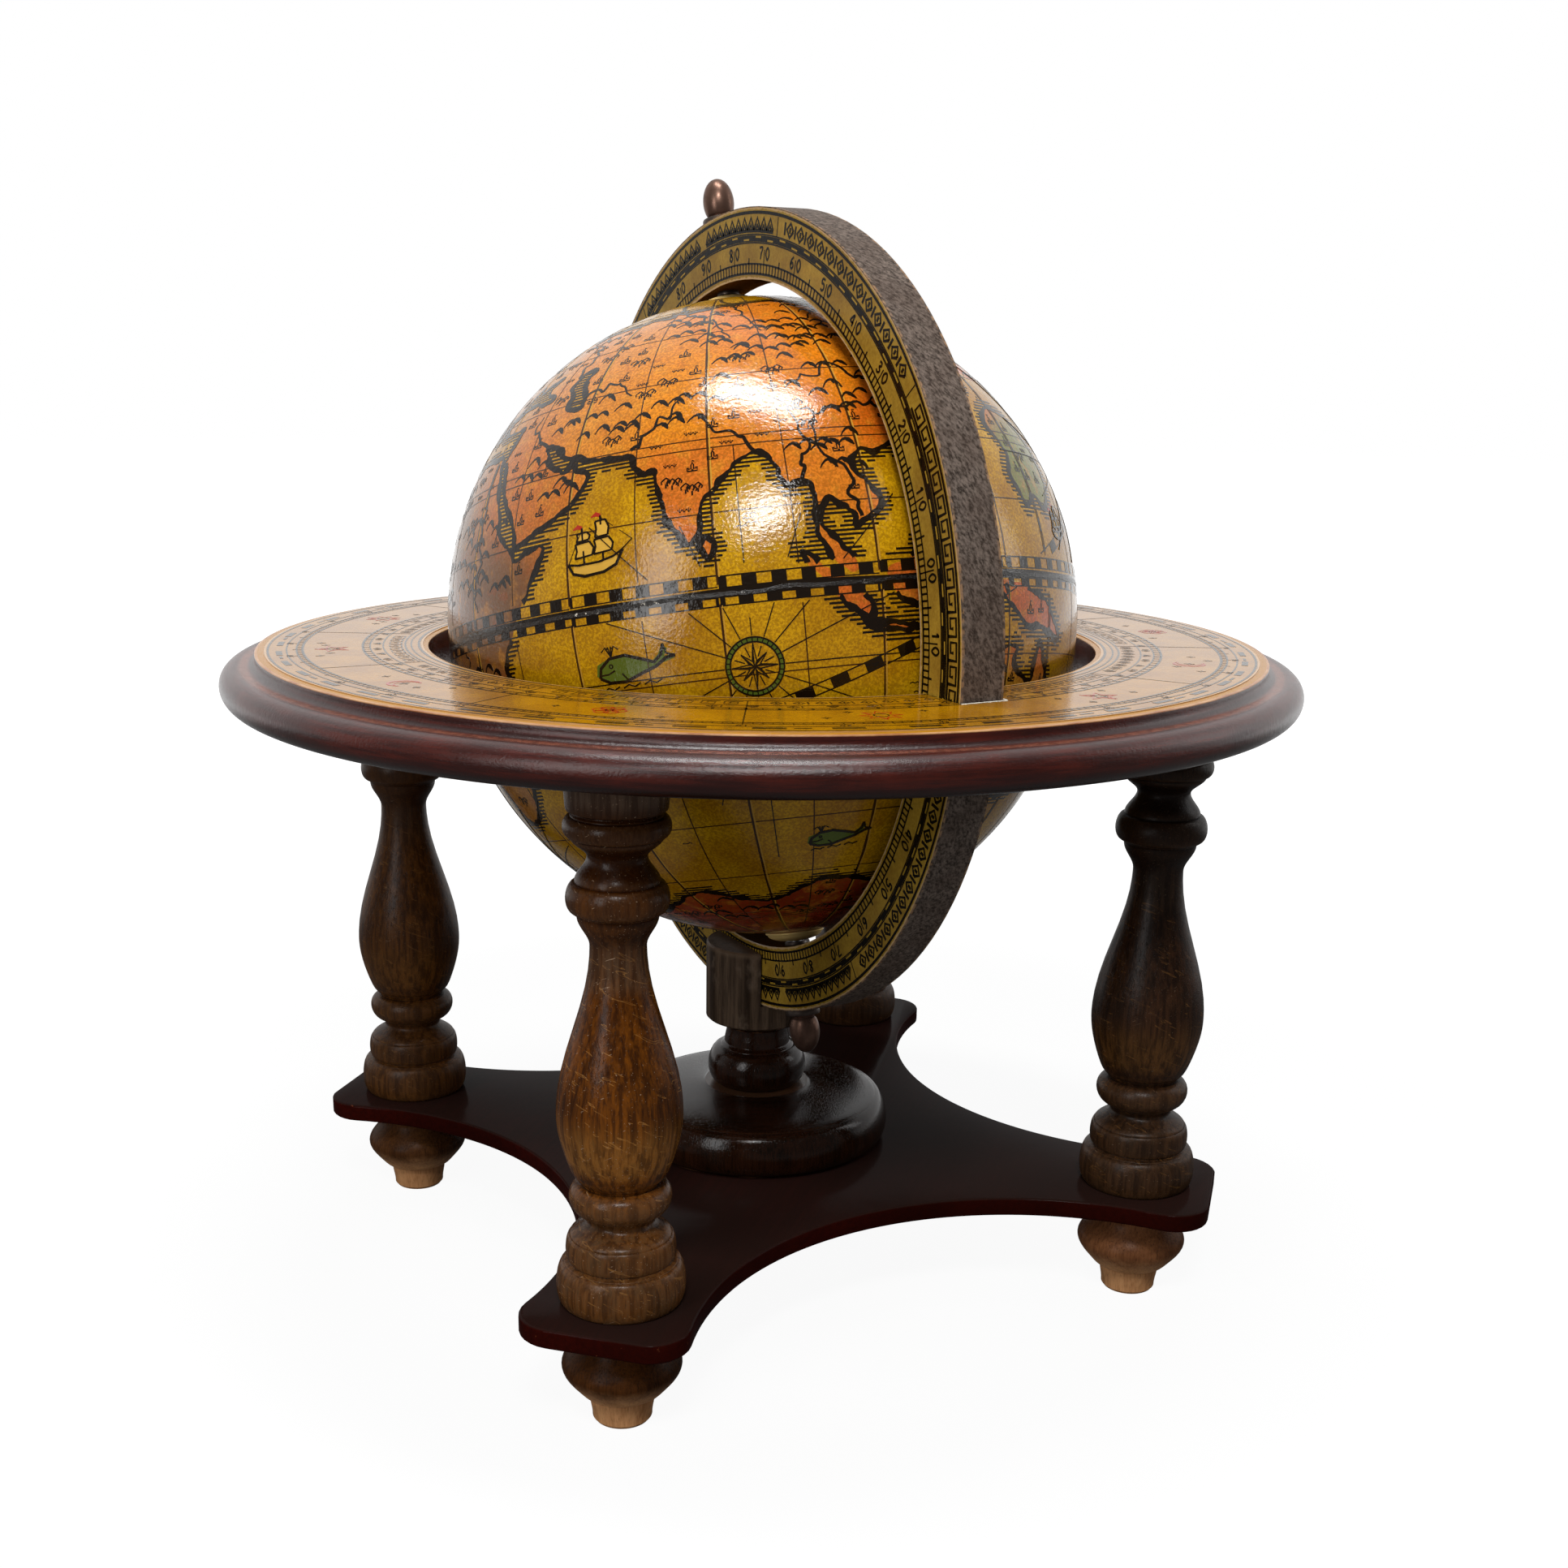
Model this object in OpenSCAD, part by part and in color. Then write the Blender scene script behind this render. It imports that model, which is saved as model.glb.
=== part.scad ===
// Desktop globe in a four-legged stand.
// +Z is up. The origin is on the table, under the middle of the stand.
// The meridian ring stands in the YZ plane, and the north pole leans towards +Y.

/* [Globe] */
// Diameter over the printed paper
globe_d = 200; // [180:1:220]
// Thickness of each cardboard half shell
shell_t = 3; // [2:0.5:5]
// Thickness of every paper skin
paper_t = 0.3; // [0.2:0.05:0.5]
// Lean of the polar axis from upright, in degrees
pole_lean = 14.4; // [13:0.2:23.4]
// Height of the globe's middle over the horizon ring's face
globe_rise = 5.8; // [4.5:0.1:8]
// Width of the cardboard band inside the joint of the halves
band_w = 16; // [10:1:30]
// Thickness of that band
band_t = 2; // [1:0.5:3]
// Diameter of the wooden plug inside each pole
hub_d = 26; // [20:1:40]
// Depth of the plug, from the shell inwards
hub_h = 13; // [10:1:20]
// Diameter of the brass cap on each pole
cap_d = 19; // [14:0.5:24]
// Height of the brass cap over the paper
cap_h = 3.2; // [2.8:0.1:3.6]

/* [Meridian ring] */
// Gap between the globe and the ring's inner edge
meridian_gap = 4.6; // [4.4:0.1:6]
// Width of the ring's face
meridian_w = 20.4; // [17:0.2:23]
// Thickness of its wood
meridian_t = 13; // [11:0.5:16]
// Diameter of the steel rod through the poles
axle_d = 4; // [3:0.5:5]
// Depth of the rod in each finial
axle_grip = 7; // [4:0.5:8]
// Diameter of the small spacer at each pole
spacer_d = 7; // [6:0.5:9]
// Diameter of the washer under each finial
washer_d = 11.2; // [9:0.2:12]
// Thickness of that washer
washer_t = 2.2; // [1.5:0.1:3]
// Diameter of the finial
finial_d = 9.8; // [8:0.2:11]
// Height of the finial
finial_h = 12.4; // [11:0.2:13]

/* [Horizon ring] */
// Gap between the globe and the ring's hole
horizon_gap = 6.2; // [5:0.2:8]
// Width of the ring, from its hole to its outer edge
horizon_w = 63.8; // [60:0.2:70]
// Thickness at its face
horizon_t = 14.9; // [13.5:0.1:18]
// Distance from the outer edge to the raised face
horizon_step = 10.9; // [10:0.1:13]
// Radius of the rounded outer edge
horizon_nose = 5.5; // [4.5:0.1:6]
// Radius of the cove between face and edge
horizon_cove = 2.6; // [1:0.1:3]
// Bare wood between the hole and the print
print_inset = 1.8; // [1:0.1:4]
// Bare wood between the print and the step
print_margin = 3; // [2:0.1:6]

/* [Legs] */
// Distance from the ring's outer edge to the leg's axis
leg_inset = 39.2; // [34:0.2:42]
// Length of a leg, from board to ring
leg_h = 155.2; // [140:0.2:170]
// Diameter of the foot of the leg
leg_base_d = 37; // [34:0.5:40]
// Diameter of the beads and collars
leg_bead_d = 29.2; // [26:0.2:32]
// Diameter of the vase at its widest
leg_vase_d = 35.4; // [32:0.2:38]
// Diameter of the vase's neck
leg_neck_d = 15.6; // [13:0.2:18]
// Diameter of the dowel in the top of the leg
dowel_d = 8; // [6:0.5:9]
// Depth of the dowel in the ring
dowel_in_ring = 9; // [6:0.5:10]
// Depth of the dowel in the leg
dowel_in_leg = 16; // [10:0.5:20]

/* [Board and feet] */
// Thickness of the board
board_t = 6; // [5:0.5:9]
// Distance from the middle of the board to its concave sides
board_waist = 76; // [70:1:82]
// Distance from a leg's axis to the end of its arm
arm_end = 25; // [23:0.5:32]
// Radius of the concave sides
side_r = 102; // [96:1:110]
// Radius of the arm's corners
corner_r = 12; // [8:0.5:14]
// Height of a foot
foot_h = 32; // [26:1:40]
// Diameter of a foot at its widest
foot_d = 35; // [31:0.5:38]
// Diameter of the peg under the foot
foot_peg_d = 18.4; // [16:0.2:21]
// Diameter of the stud that joins foot, board and leg
stud_d = 6; // [4:0.5:8]
// Depth of the stud in the foot
stud_in_foot = 20; // [12:1:24]
// Depth of the stud in the leg
stud_in_leg = 24; // [15:1:35]

/* [Pedestal] */
// Diameter of the disc
disc_d = 90; // [80:1:100]
// Height of the disc
disc_h = 19; // [17:0.5:22]
// Diameter of the turned neck's bulge
neck_bulge_d = 33.4; // [28:0.2:36]
// Diameter of the ring holder
holder_d = 35; // [34:0.2:36]
// Wood under the middle of the holder's slot
holder_floor = 7.6; // [6:0.1:10]
// Distance from the meridian ring's inner edge down to the holder's top
holder_drop = 2; // [1:0.1:5]
// Diameter of the long screw
screw_d = 5; // [4:0.5:6]
// Diameter of the screw's head
screw_head_d = 9.5; // [8:0.5:12]
// Wood left over the tip of the screw
screw_cover = 2; // [1:0.5:4]

/* [Clearances] */
// Running clearance of the plugs on the rod
axle_clear = 0.05; // [0.03:0.01:0.1]
// Clearance beside and under the meridian ring in its slots
slot_clear = 0.5; // [0.3:0.1:0.8]
// Clearance between a brass cap and its spacer
cap_clear = 0.2; // [0.1:0.05:0.3]
// Clearance round the rod in the shells
shell_clear = 1; // [0.5:0.5:2]

/* [Hidden] */
$fn = 96;
overcut = 1;

// Globe and meridian ring, from the globe's middle outwards
globe_r = globe_d / 2;
shell_r = globe_r - paper_t;
cavity_r = shell_r - shell_t;
meridian_in = globe_r + meridian_gap;
meridian_out = meridian_in + meridian_w;
rim_r = meridian_out + paper_t;
meridian_full_t = meridian_t + 2 * paper_t;
slot_w = meridian_full_t + 2 * slot_clear;
slot_r = rim_r + slot_clear;
cap_top = globe_r + cap_h;
axle_half = rim_r + washer_t + axle_grip;

// Heights, from the table up
board_z = foot_h;
board_top = board_z + board_t;
ring_z = board_top + leg_h;
ring_top = ring_z + horizon_t;
globe_z = ring_top + globe_rise;
slot_floor = globe_z - slot_r;
neck_z = board_top + disc_h;
holder_z = slot_floor - holder_floor;
neck_h = holder_z - neck_z;
holder_top = globe_z - meridian_in - holder_drop;

// Plan of the stand, from its middle outwards
horizon_in = globe_r + horizon_gap;
horizon_out = horizon_in + horizon_w;
face_r = horizon_out - horizon_step;
nose_r = horizon_out - horizon_nose;
leg_r = horizon_out - leg_inset;
leg_at = leg_r * sqrt(0.5);
arm_r = leg_r + arm_end;
side_at = board_waist + side_r;

// Turned outlines: each step is [height of its top, radius there, extra bulge halfway, roundness].
// Roundness 0 is a soft S from the last step, 1 is a quarter round that opens, and -1 one that closes.
OUTLINE_POINTS = 14;

// Radius and height along one step, from the step p to the step q
function turned_step(p, q) = [for (i = [1:OUTLINE_POINTS])
    let (u = 180 * i / OUTLINE_POINTS, t = (1 - cos(u)) / 2,
        soft = (1 - cos(180 * t)) / 2,
        quarter = q[3] > 0 ? sqrt(1 - pow(1 - t, 2)) : 1 - sqrt(1 - t * t))
    [p[1] + (q[1] - p[1]) * (soft + (quarter - soft) * abs(q[3])) + q[2] * sin(u), p[0] + (q[0] - p[0]) * t]];
function turned_outline(steps) = concat([[steps[0][1], steps[0][0]]],
    [for (i = [1:len(steps) - 1]) each turned_step(steps[i - 1], steps[i])]);

module turned(steps) {
    rotate_extrude()
        polygon(concat([[0, steps[0][0]]], turned_outline(steps), [[0, steps[len(steps) - 1][0]]]));
}

// Half diameters of the turned pieces
base_r = leg_base_d / 2;
bead_r = leg_bead_d / 2;
vase_r = leg_vase_d / 2;
leg_neck_r = leg_neck_d / 2;
// The foot and beads keep their heights over the board, the collars keep theirs under the ring
LEG_STEPS = [
    [0, base_r - 2, 0, 0],
    [12.4, base_r - 2.2, 2.1, 0],
    [13.2, bead_r + 0.2, 0, 0],
    [20.5, bead_r, 1, 0],
    [25.2, bead_r - 5, 0, 0],
    [27.4, bead_r - 4.1, 0, 0],
    [36.4, bead_r - 3.6, 3.8, 0],
    [37.8, bead_r - 3, 0, 0],
    [57, vase_r, 0, 0.7],
    [leg_h - 49.5, leg_neck_r, 0, 0],
    [leg_h - 41, bead_r - 3.4, 0, 0],
    [leg_h - 40, bead_r - 2.6, 0, 0],
    [leg_h - 31.6, bead_r - 2.9, 2.3, 0],
    [leg_h - 24.6, leg_neck_r + 0.4, 0, 0],
    [leg_h - 19.2, bead_r - 1.9, 0, 0],
    [leg_h - 13.4, bead_r - 2, 2, 0],
    [leg_h - 12.4, bead_r - 2.6, 0, 0],
    [leg_h - 11.6, bead_r - 0.9, 0, 0],
    [leg_h, bead_r - 0.5, 0.3, 0]];

peg_r = foot_peg_d / 2;
foot_r = foot_d / 2;
FOOT_STEPS = [
    [0, peg_r - 1.2, 0, 0],
    [1, peg_r - 0.5, 0, 0],
    [8.2, peg_r + 0.4, 0, 0],
    [8.8, peg_r + 1.6, 0, 0],
    [17.6, foot_r, 0, 0.5],
    [foot_h - 5, foot_r - 5, 0, 0],
    [foot_h, foot_r - 5.2, 0, 0]];

disc_r = disc_d / 2;
bulge_r = neck_bulge_d / 2;
DISC_STEPS = [
    [0, disc_r - 1.8, 0, 0],
    [8, disc_r - 1.8, 1.8, 0],
    [8.8, disc_r - 2.6, 0, 0],
    [15.2, disc_r - 3.6, 3.3, 0],
    [disc_h, bulge_r + 1, 0, 0]];

// The neck fills the height between disc and holder, with its bulge in the lower part
NECK_STEPS = [
    [0, bulge_r - 3.8, 0, 0],
    [neck_h * 0.56, bulge_r - 4.2, 4, 0],
    [neck_h * 0.62, bulge_r - 5.6, 0, 0],
    [neck_h * 0.86, bulge_r - 6.4, 0, 0],
    [neck_h, bulge_r - 4, 0.4, 0]];

finial_r = finial_d / 2;
FINIAL_STEPS = [
    [0, finial_r - 1, 0, 0],
    [0.8, finial_r - 1.4, 0, 0],
    [finial_h * 0.4, finial_r, 0, 0.9],
    [finial_h, 0.2, 0, -0.86]];

module at_legs() {
    for (side = [-1, 1], end = [-1, 1])
        translate([side * leg_at, end * leg_at, 0])
            children();
}

// Stands the polar axis up at the globe's middle
module at_globe() {
    translate([0, 0, globe_z])
        rotate([-pole_lean, 0, 0])
            children();
}

// The same thing at both poles, with +Z outwards
module at_poles() {
    for (turn = [0, 180])
        rotate([turn, 0, 0])
            children();
}

// A flat ring in the meridian plane, from x = from to x = to
module meridian_annulus(inner, outer, from, to) {
    difference() {
        translate([from, 0, 0])
            rotate([0, 90, 0])
                cylinder(r = outer, h = to - from, $fn = 256);
        translate([from - overcut, 0, 0])
            rotate([0, 90, 0])
                cylinder(r = inner, h = to - from + 2 * overcut, $fn = 256);
    }
}

// ---- Board, legs and feet ----

// Where the line x + y = reach * sqrt(2) meets the circle of radius r round [0, away]
function arm_corner(reach, away, r) = let (k = reach * sqrt(2) - away)
    (k + sqrt(2 * r * r - k * k)) / 2;

// The middle of a corner's circle: it touches the arm's end and the concave side
corner_x = arm_corner(arm_r - corner_r, side_at, side_r + corner_r);
corner_y = (arm_r - corner_r) * sqrt(2) - corner_x;
side_touch = side_r / (side_r + corner_r);
end_touch = corner_r * sqrt(0.5);

// The board's outline before its sides are hollowed and its corners rounded, from the +Y side to the arm
BOARD_EIGHTH = [
    [0, board_waist + corner_r],
    [corner_x * side_touch, side_at - (side_at - corner_y) * side_touch],
    [corner_x, corner_y],
    [corner_x + end_touch, corner_y + end_touch]];
BOARD_QUARTER = concat([for (p = BOARD_EIGHTH) [p[1], p[0]]],
    [for (i = [len(BOARD_EIGHTH) - 1:-1:1]) BOARD_EIGHTH[i]]);

module board_outline() {
    difference() {
        union() {
            polygon([for (q = [0:3], p = BOARD_QUARTER)
                [p[0] * cos(90 * q) - p[1] * sin(90 * q), p[0] * sin(90 * q) + p[1] * cos(90 * q)]]);
            for (quarter = [0:3], p = [[corner_x, corner_y], [corner_y, corner_x]])
                rotate(90 * quarter)
                    translate(p)
                        circle(corner_r);
        }
        for (quarter = [0:3])
            rotate(90 * quarter)
                translate([0, side_at])
                    circle(side_r, $fn = 256);
    }
}

module base_plate() color("#34100f") {
    difference() {
        translate([0, 0, board_z])
            linear_extrude(board_t)
                board_outline();
        at_legs()
            translate([0, 0, board_z - overcut])
                cylinder(d = stud_d, h = board_t + 2 * overcut);
        pedestal_screw_shape();
    }
}

module leg(side, end) color("#5a3a1e") {
    translate([side * leg_at, end * leg_at, board_top])
        difference() {
            turned(LEG_STEPS);
            translate([0, 0, -overcut])
                cylinder(d = stud_d, h = stud_in_leg + overcut);
            translate([0, 0, leg_h - dowel_in_leg])
                cylinder(d = dowel_d, h = dowel_in_leg + overcut);
        }
}

module leg_front_left() leg(-1, -1);
module leg_front_right() leg(1, -1);
module leg_back_left() leg(-1, 1);
module leg_back_right() leg(1, 1);

module foot(side, end) color("#7d5733") {
    translate([side * leg_at, end * leg_at, 0])
        difference() {
            turned(FOOT_STEPS);
            translate([0, 0, foot_h - stud_in_foot])
                cylinder(d = stud_d, h = stud_in_foot + overcut);
        }
}

module foot_front_left() foot(-1, -1);
module foot_front_right() foot(1, -1);
module foot_back_left() foot(-1, 1);
module foot_back_right() foot(1, 1);

module leg_studs() color("#9a9a96") {
    at_legs()
        translate([0, 0, foot_h - stud_in_foot])
            cylinder(d = stud_d, h = stud_in_foot + board_t + stud_in_leg);
}

module ring_dowels() color("#c9a878") {
    at_legs()
        translate([0, 0, ring_z - dowel_in_leg])
            cylinder(d = dowel_d, h = dowel_in_leg + dowel_in_ring);
}

// ---- Horizon ring ----

// The two notches for the meridian ring, cut through everything between z = from and z = to
module notches(from, to) {
    translate([-slot_w / 2, -slot_r, from])
        cube([slot_w, 2 * slot_r, to - from]);
}

module horizon_section() {
    step_z = 2 * horizon_nose;
    difference() {
        union() {
            translate([horizon_in, 0])
                square([face_r - horizon_in, horizon_t]);
            translate([horizon_in, 0])
                square([nose_r - horizon_in, step_z]);
            translate([nose_r, horizon_nose])
                circle(horizon_nose);
            translate([face_r - overcut, step_z - overcut])
                square(horizon_cove + overcut);
        }
        translate([face_r + horizon_cove, step_z + horizon_cove])
            circle(horizon_cove);
    }
}

module horizon_ring() color("#5a2420") {
    difference() {
        translate([0, 0, ring_z])
            rotate_extrude($fn = 256)
                horizon_section();
        notches(ring_z - overcut, ring_top + overcut);
        at_legs()
            translate([0, 0, ring_z - overcut])
                cylinder(d = dowel_d, h = dowel_in_ring + overcut);
    }
}

module horizon_print() color("#c39a35") {
    difference() {
        translate([0, 0, ring_top])
            cylinder(r = face_r - print_margin, h = paper_t, $fn = 256);
        translate([0, 0, ring_top - overcut])
            cylinder(r = horizon_in + print_inset, h = paper_t + 2 * overcut, $fn = 256);
        notches(ring_top - overcut, ring_top + paper_t + overcut);
    }
}

// ---- Pedestal ----

// The long screw: its head is sunk in the underside of the board
module pedestal_screw_shape() {
    translate([0, 0, board_z])
        cylinder(d = screw_d, h = slot_floor - screw_cover - board_z);
    translate([0, 0, board_z])
        cylinder(d1 = screw_head_d, d2 = screw_d, h = (screw_head_d - screw_d) / 2);
}

module pedestal_base() color("#241510") {
    difference() {
        translate([0, 0, board_top])
            turned(DISC_STEPS);
        pedestal_screw_shape();
    }
}

module pedestal_neck() color("#241510") {
    difference() {
        translate([0, 0, neck_z])
            turned(NECK_STEPS);
        pedestal_screw_shape();
    }
}

module ring_holder() color("#463c36") {
    difference() {
        translate([0, 0, holder_z])
            cylinder(d = holder_d, h = holder_top - holder_z);
        intersection() {
            translate([-slot_w / 2, -holder_d, holder_z])
                cube([slot_w, 2 * holder_d, holder_top - holder_z + overcut]);
            translate([-slot_w, 0, globe_z])
                rotate([0, 90, 0])
                    cylinder(r = slot_r, h = 2 * slot_w, $fn = 256);
        }
        pedestal_screw_shape();
    }
}

module pedestal_screw() color("#9a9a96")
    pedestal_screw_shape();

// ---- Meridian ring ----

module axle_hole() {
    translate([0, 0, -axle_half - overcut])
        cylinder(d = axle_d, h = 2 * (axle_half + overcut));
}

module meridian_ring() color("#8a7a4a") {
    at_globe()
        difference() {
            meridian_annulus(meridian_in, meridian_out, -meridian_t / 2, meridian_t / 2);
            axle_hole();
        }
}

module meridian_print_left() color("#b49a58") {
    at_globe()
        meridian_annulus(meridian_in, meridian_out, -meridian_full_t / 2, -meridian_t / 2);
}

module meridian_print_right() color("#b49a58") {
    at_globe()
        meridian_annulus(meridian_in, meridian_out, meridian_t / 2, meridian_full_t / 2);
}

module meridian_rim_band() color("#665c56") {
    at_globe()
        difference() {
            meridian_annulus(meridian_out, rim_r, -meridian_full_t / 2, meridian_full_t / 2);
            axle_hole();
        }
}

module axle_rod() color("#9a9a96") {
    at_globe()
        translate([0, 0, -axle_half])
            cylinder(d = axle_d, h = 2 * axle_half);
}

// The spacer's edge meets the ring's hollow inner edge
module pole_spacers() color("#2b2622") {
    spacer_z = cap_top + cap_clear;
    spacer_end = sqrt(pow(meridian_in, 2) - pow(spacer_d / 2, 2));
    at_globe()
        at_poles()
            difference() {
                translate([0, 0, spacer_z])
                    cylinder(d = spacer_d, h = spacer_end - spacer_z);
                axle_hole();
            }
}

module finial_washers() color("#6e4a3c") {
    at_globe()
        at_poles()
            difference() {
                translate([0, 0, rim_r])
                    cylinder(d = washer_d, h = washer_t);
                axle_hole();
            }
}

module finial() color("#6a4138") {
    difference() {
        translate([0, 0, rim_r + washer_t])
            turned(FINIAL_STEPS);
        translate([0, 0, rim_r])
            cylinder(d = axle_d, h = axle_half - rim_r);
    }
}

module finial_top()
    at_globe()
        finial();

module finial_bottom()
    at_globe()
        rotate([180, 0, 0])
            finial();

// ---- Globe ----

// Half of a hollow ball between two radii, open at the equator and bored at the pole
module half_ball(outer, inner) {
    difference() {
        sphere(r = outer, $fn = 256);
        sphere(r = inner, $fn = 256);
        translate([-globe_d, -globe_d, -2 * globe_d])
            cube(2 * globe_d);
        cylinder(d = axle_d + 2 * shell_clear, h = globe_d);
    }
}

module globe_half() half_ball(shell_r, cavity_r);
module map_paper() half_ball(globe_r, shell_r);

module globe_north_half() color("#b8935f")
    at_globe()
        globe_half();

module globe_south_half() color("#b8935f")
    at_globe()
        rotate([180, 0, 0])
            globe_half();

module map_paper_north() color("#d07a35")
    at_globe()
        map_paper();

module map_paper_south() color("#c79a28")
    at_globe()
        rotate([180, 0, 0])
            map_paper();

module joining_band() color("#9c8560") {
    at_globe()
        difference() {
            intersection() {
                sphere(r = cavity_r, $fn = 256);
                cube([globe_d, globe_d, band_w], center = true);
            }
            translate([0, 0, -band_w])
                cylinder(r = cavity_r - band_t - (cavity_r - sqrt(pow(cavity_r, 2) - pow(band_w / 2, 2))),
                    h = 2 * band_w, $fn = 256);
        }
}

module pole_hub() color("#c9a878") {
    difference() {
        intersection() {
            sphere(r = cavity_r, $fn = 256);
            translate([0, 0, cavity_r - hub_h])
                cylinder(d = hub_d, h = hub_h);
        }
        cylinder(d = axle_d + 2 * axle_clear, h = globe_d);
    }
}

module pole_hub_north()
    at_globe()
        pole_hub();

module pole_hub_south()
    at_globe()
        rotate([180, 0, 0])
            pole_hub();

// A shallow dome that sits on the paper, with a thin upright edge
module pole_cap() color("#c8a64a") {
    cap_edge = 0.5;
    edge_z = sqrt(pow(globe_r, 2) - pow(cap_d / 2, 2));
    dome_h = cap_top - edge_z - cap_edge;
    dome_r = (pow(cap_d / 2, 2) + pow(dome_h, 2)) / (2 * dome_h);
    difference() {
        intersection() {
            translate([0, 0, edge_z - overcut])
                cylinder(d = cap_d, h = cap_top - edge_z + 2 * overcut);
            translate([0, 0, cap_top - dome_r])
                sphere(r = dome_r);
        }
        sphere(r = globe_r, $fn = 256);
        cylinder(d = axle_d + 2 * shell_clear, h = globe_d);
    }
}

module pole_cap_north()
    at_globe()
        pole_cap();

module pole_cap_south()
    at_globe()
        rotate([180, 0, 0])
            pole_cap();

base_plate();
leg_front_left();
leg_front_right();
leg_back_left();
leg_back_right();
foot_front_left();
foot_front_right();
foot_back_left();
foot_back_right();
leg_studs();
ring_dowels();
horizon_ring();
horizon_print();
pedestal_base();
pedestal_neck();
ring_holder();
pedestal_screw();
meridian_ring();
meridian_print_left();
meridian_print_right();
meridian_rim_band();
axle_rod();
pole_spacers();
finial_washers();
finial_top();
finial_bottom();
globe_north_half();
globe_south_half();
map_paper_north();
map_paper_south();
joining_band();
pole_hub_north();
pole_hub_south();
pole_cap_north();
pole_cap_south();
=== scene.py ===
"""Desktop globe in a four-legged stand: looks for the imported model, in metres.

The stand is turned and varnished wood, the rings carry printed paper, and the globe is two card
half shells under a varnished map.
"""
import bpy
import bmesh
import math
import random
import numpy as np
from mathutils import Matrix, Vector, kdtree, noise


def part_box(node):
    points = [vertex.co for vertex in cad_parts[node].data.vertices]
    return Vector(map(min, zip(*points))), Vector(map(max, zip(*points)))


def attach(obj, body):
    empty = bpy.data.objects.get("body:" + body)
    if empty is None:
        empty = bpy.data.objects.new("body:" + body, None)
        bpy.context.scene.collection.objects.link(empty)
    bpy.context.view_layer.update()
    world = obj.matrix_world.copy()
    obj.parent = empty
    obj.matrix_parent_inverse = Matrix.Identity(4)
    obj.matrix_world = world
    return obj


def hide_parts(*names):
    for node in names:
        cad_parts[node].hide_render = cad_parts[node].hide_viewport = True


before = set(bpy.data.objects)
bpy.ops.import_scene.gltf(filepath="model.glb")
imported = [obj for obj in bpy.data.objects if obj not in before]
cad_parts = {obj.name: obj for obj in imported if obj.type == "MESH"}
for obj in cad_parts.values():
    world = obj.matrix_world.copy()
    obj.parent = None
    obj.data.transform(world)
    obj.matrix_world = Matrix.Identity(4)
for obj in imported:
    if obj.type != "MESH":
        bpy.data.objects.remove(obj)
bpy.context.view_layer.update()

MM = 0.001
UP = Vector((0, 0, 1))

# The shake of a drawn line starts from the same place every time the script runs
noise.seed_set(7)


def waver(x, y=0, z=0):
    """A value from -1 to 1 that drifts smoothly from place to place."""
    return noise.noise(Vector((x, y, z)))


def cosd(degrees):
    return math.cos(math.radians(degrees))


# ---- Sizes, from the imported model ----

def middle(node):
    low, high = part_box(node)
    return (low + high) / 2


GLOBE_AT = middle("meridian_ring")
GLOBE_R = 100 * MM
PAPER = 0.3 * MM
POLE_LEAN = math.radians(14.4)
MERIDIAN_IN = 104.6 * MM
MERIDIAN_OUT = 125 * MM
MERIDIAN_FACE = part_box("meridian_print_right")[1].x
SLOT_W = 14.6 * MM
SLOT_R = 125.8 * MM

BOARD_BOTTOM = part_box("base_plate")[0].z
BOARD_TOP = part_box("base_plate")[1].z
RING_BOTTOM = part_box("horizon_ring")[0].z
RING_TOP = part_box("horizon_ring")[1].z
PRINT_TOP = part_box("horizon_print")[1].z
HORIZON_IN = 106.2 * MM
HORIZON_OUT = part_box("horizon_ring")[1].x
FACE_R = HORIZON_OUT - 10.9 * MM
NOSE_R = 5.5 * MM
LEG_AT = middle("leg_back_right").x

TO_GLOBE = Matrix.Translation(GLOBE_AT) @ Matrix.Rotation(-POLE_LEAN, 4, 'X')
POLE = Vector((0, math.sin(POLE_LEAN), math.cos(POLE_LEAN)))
NEAR_EQUATOR = Vector((0, -math.cos(POLE_LEAN), math.sin(POLE_LEAN)))


# ---- Camera, floor and light ----

EYE = (-0.29366, -0.54779, 0.29768)
VIEW_TURN = math.radians(28.2)
VIEW_DROP = math.radians(16.93)
VIEW_ROLL = math.radians(0.74)
SENSOR_MM, LENS_MM = 36, 44.13
SHIFT_RIGHT, SHIFT_UP = 0.0163, 0.0969


def set_camera():
    ahead = Vector((math.sin(VIEW_TURN) * math.cos(VIEW_DROP), math.cos(VIEW_TURN) * math.cos(VIEW_DROP),
                    -math.sin(VIEW_DROP)))
    level = ahead.cross(UP).normalized()
    top = level.cross(ahead)
    right = level * math.cos(VIEW_ROLL) + top * math.sin(VIEW_ROLL)
    top = right.cross(ahead)
    lens = bpy.data.cameras.new("view")
    lens.sensor_width, lens.lens = SENSOR_MM, LENS_MM
    lens.shift_x, lens.shift_y = SHIFT_RIGHT, SHIFT_UP
    camera = bpy.data.objects.new("view", lens)
    camera.matrix_world = Matrix.Translation(EYE) @ Matrix((right, top, -ahead)).transposed().to_4x4()
    bpy.context.collection.objects.link(camera)
    bpy.context.scene.camera = camera


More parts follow.
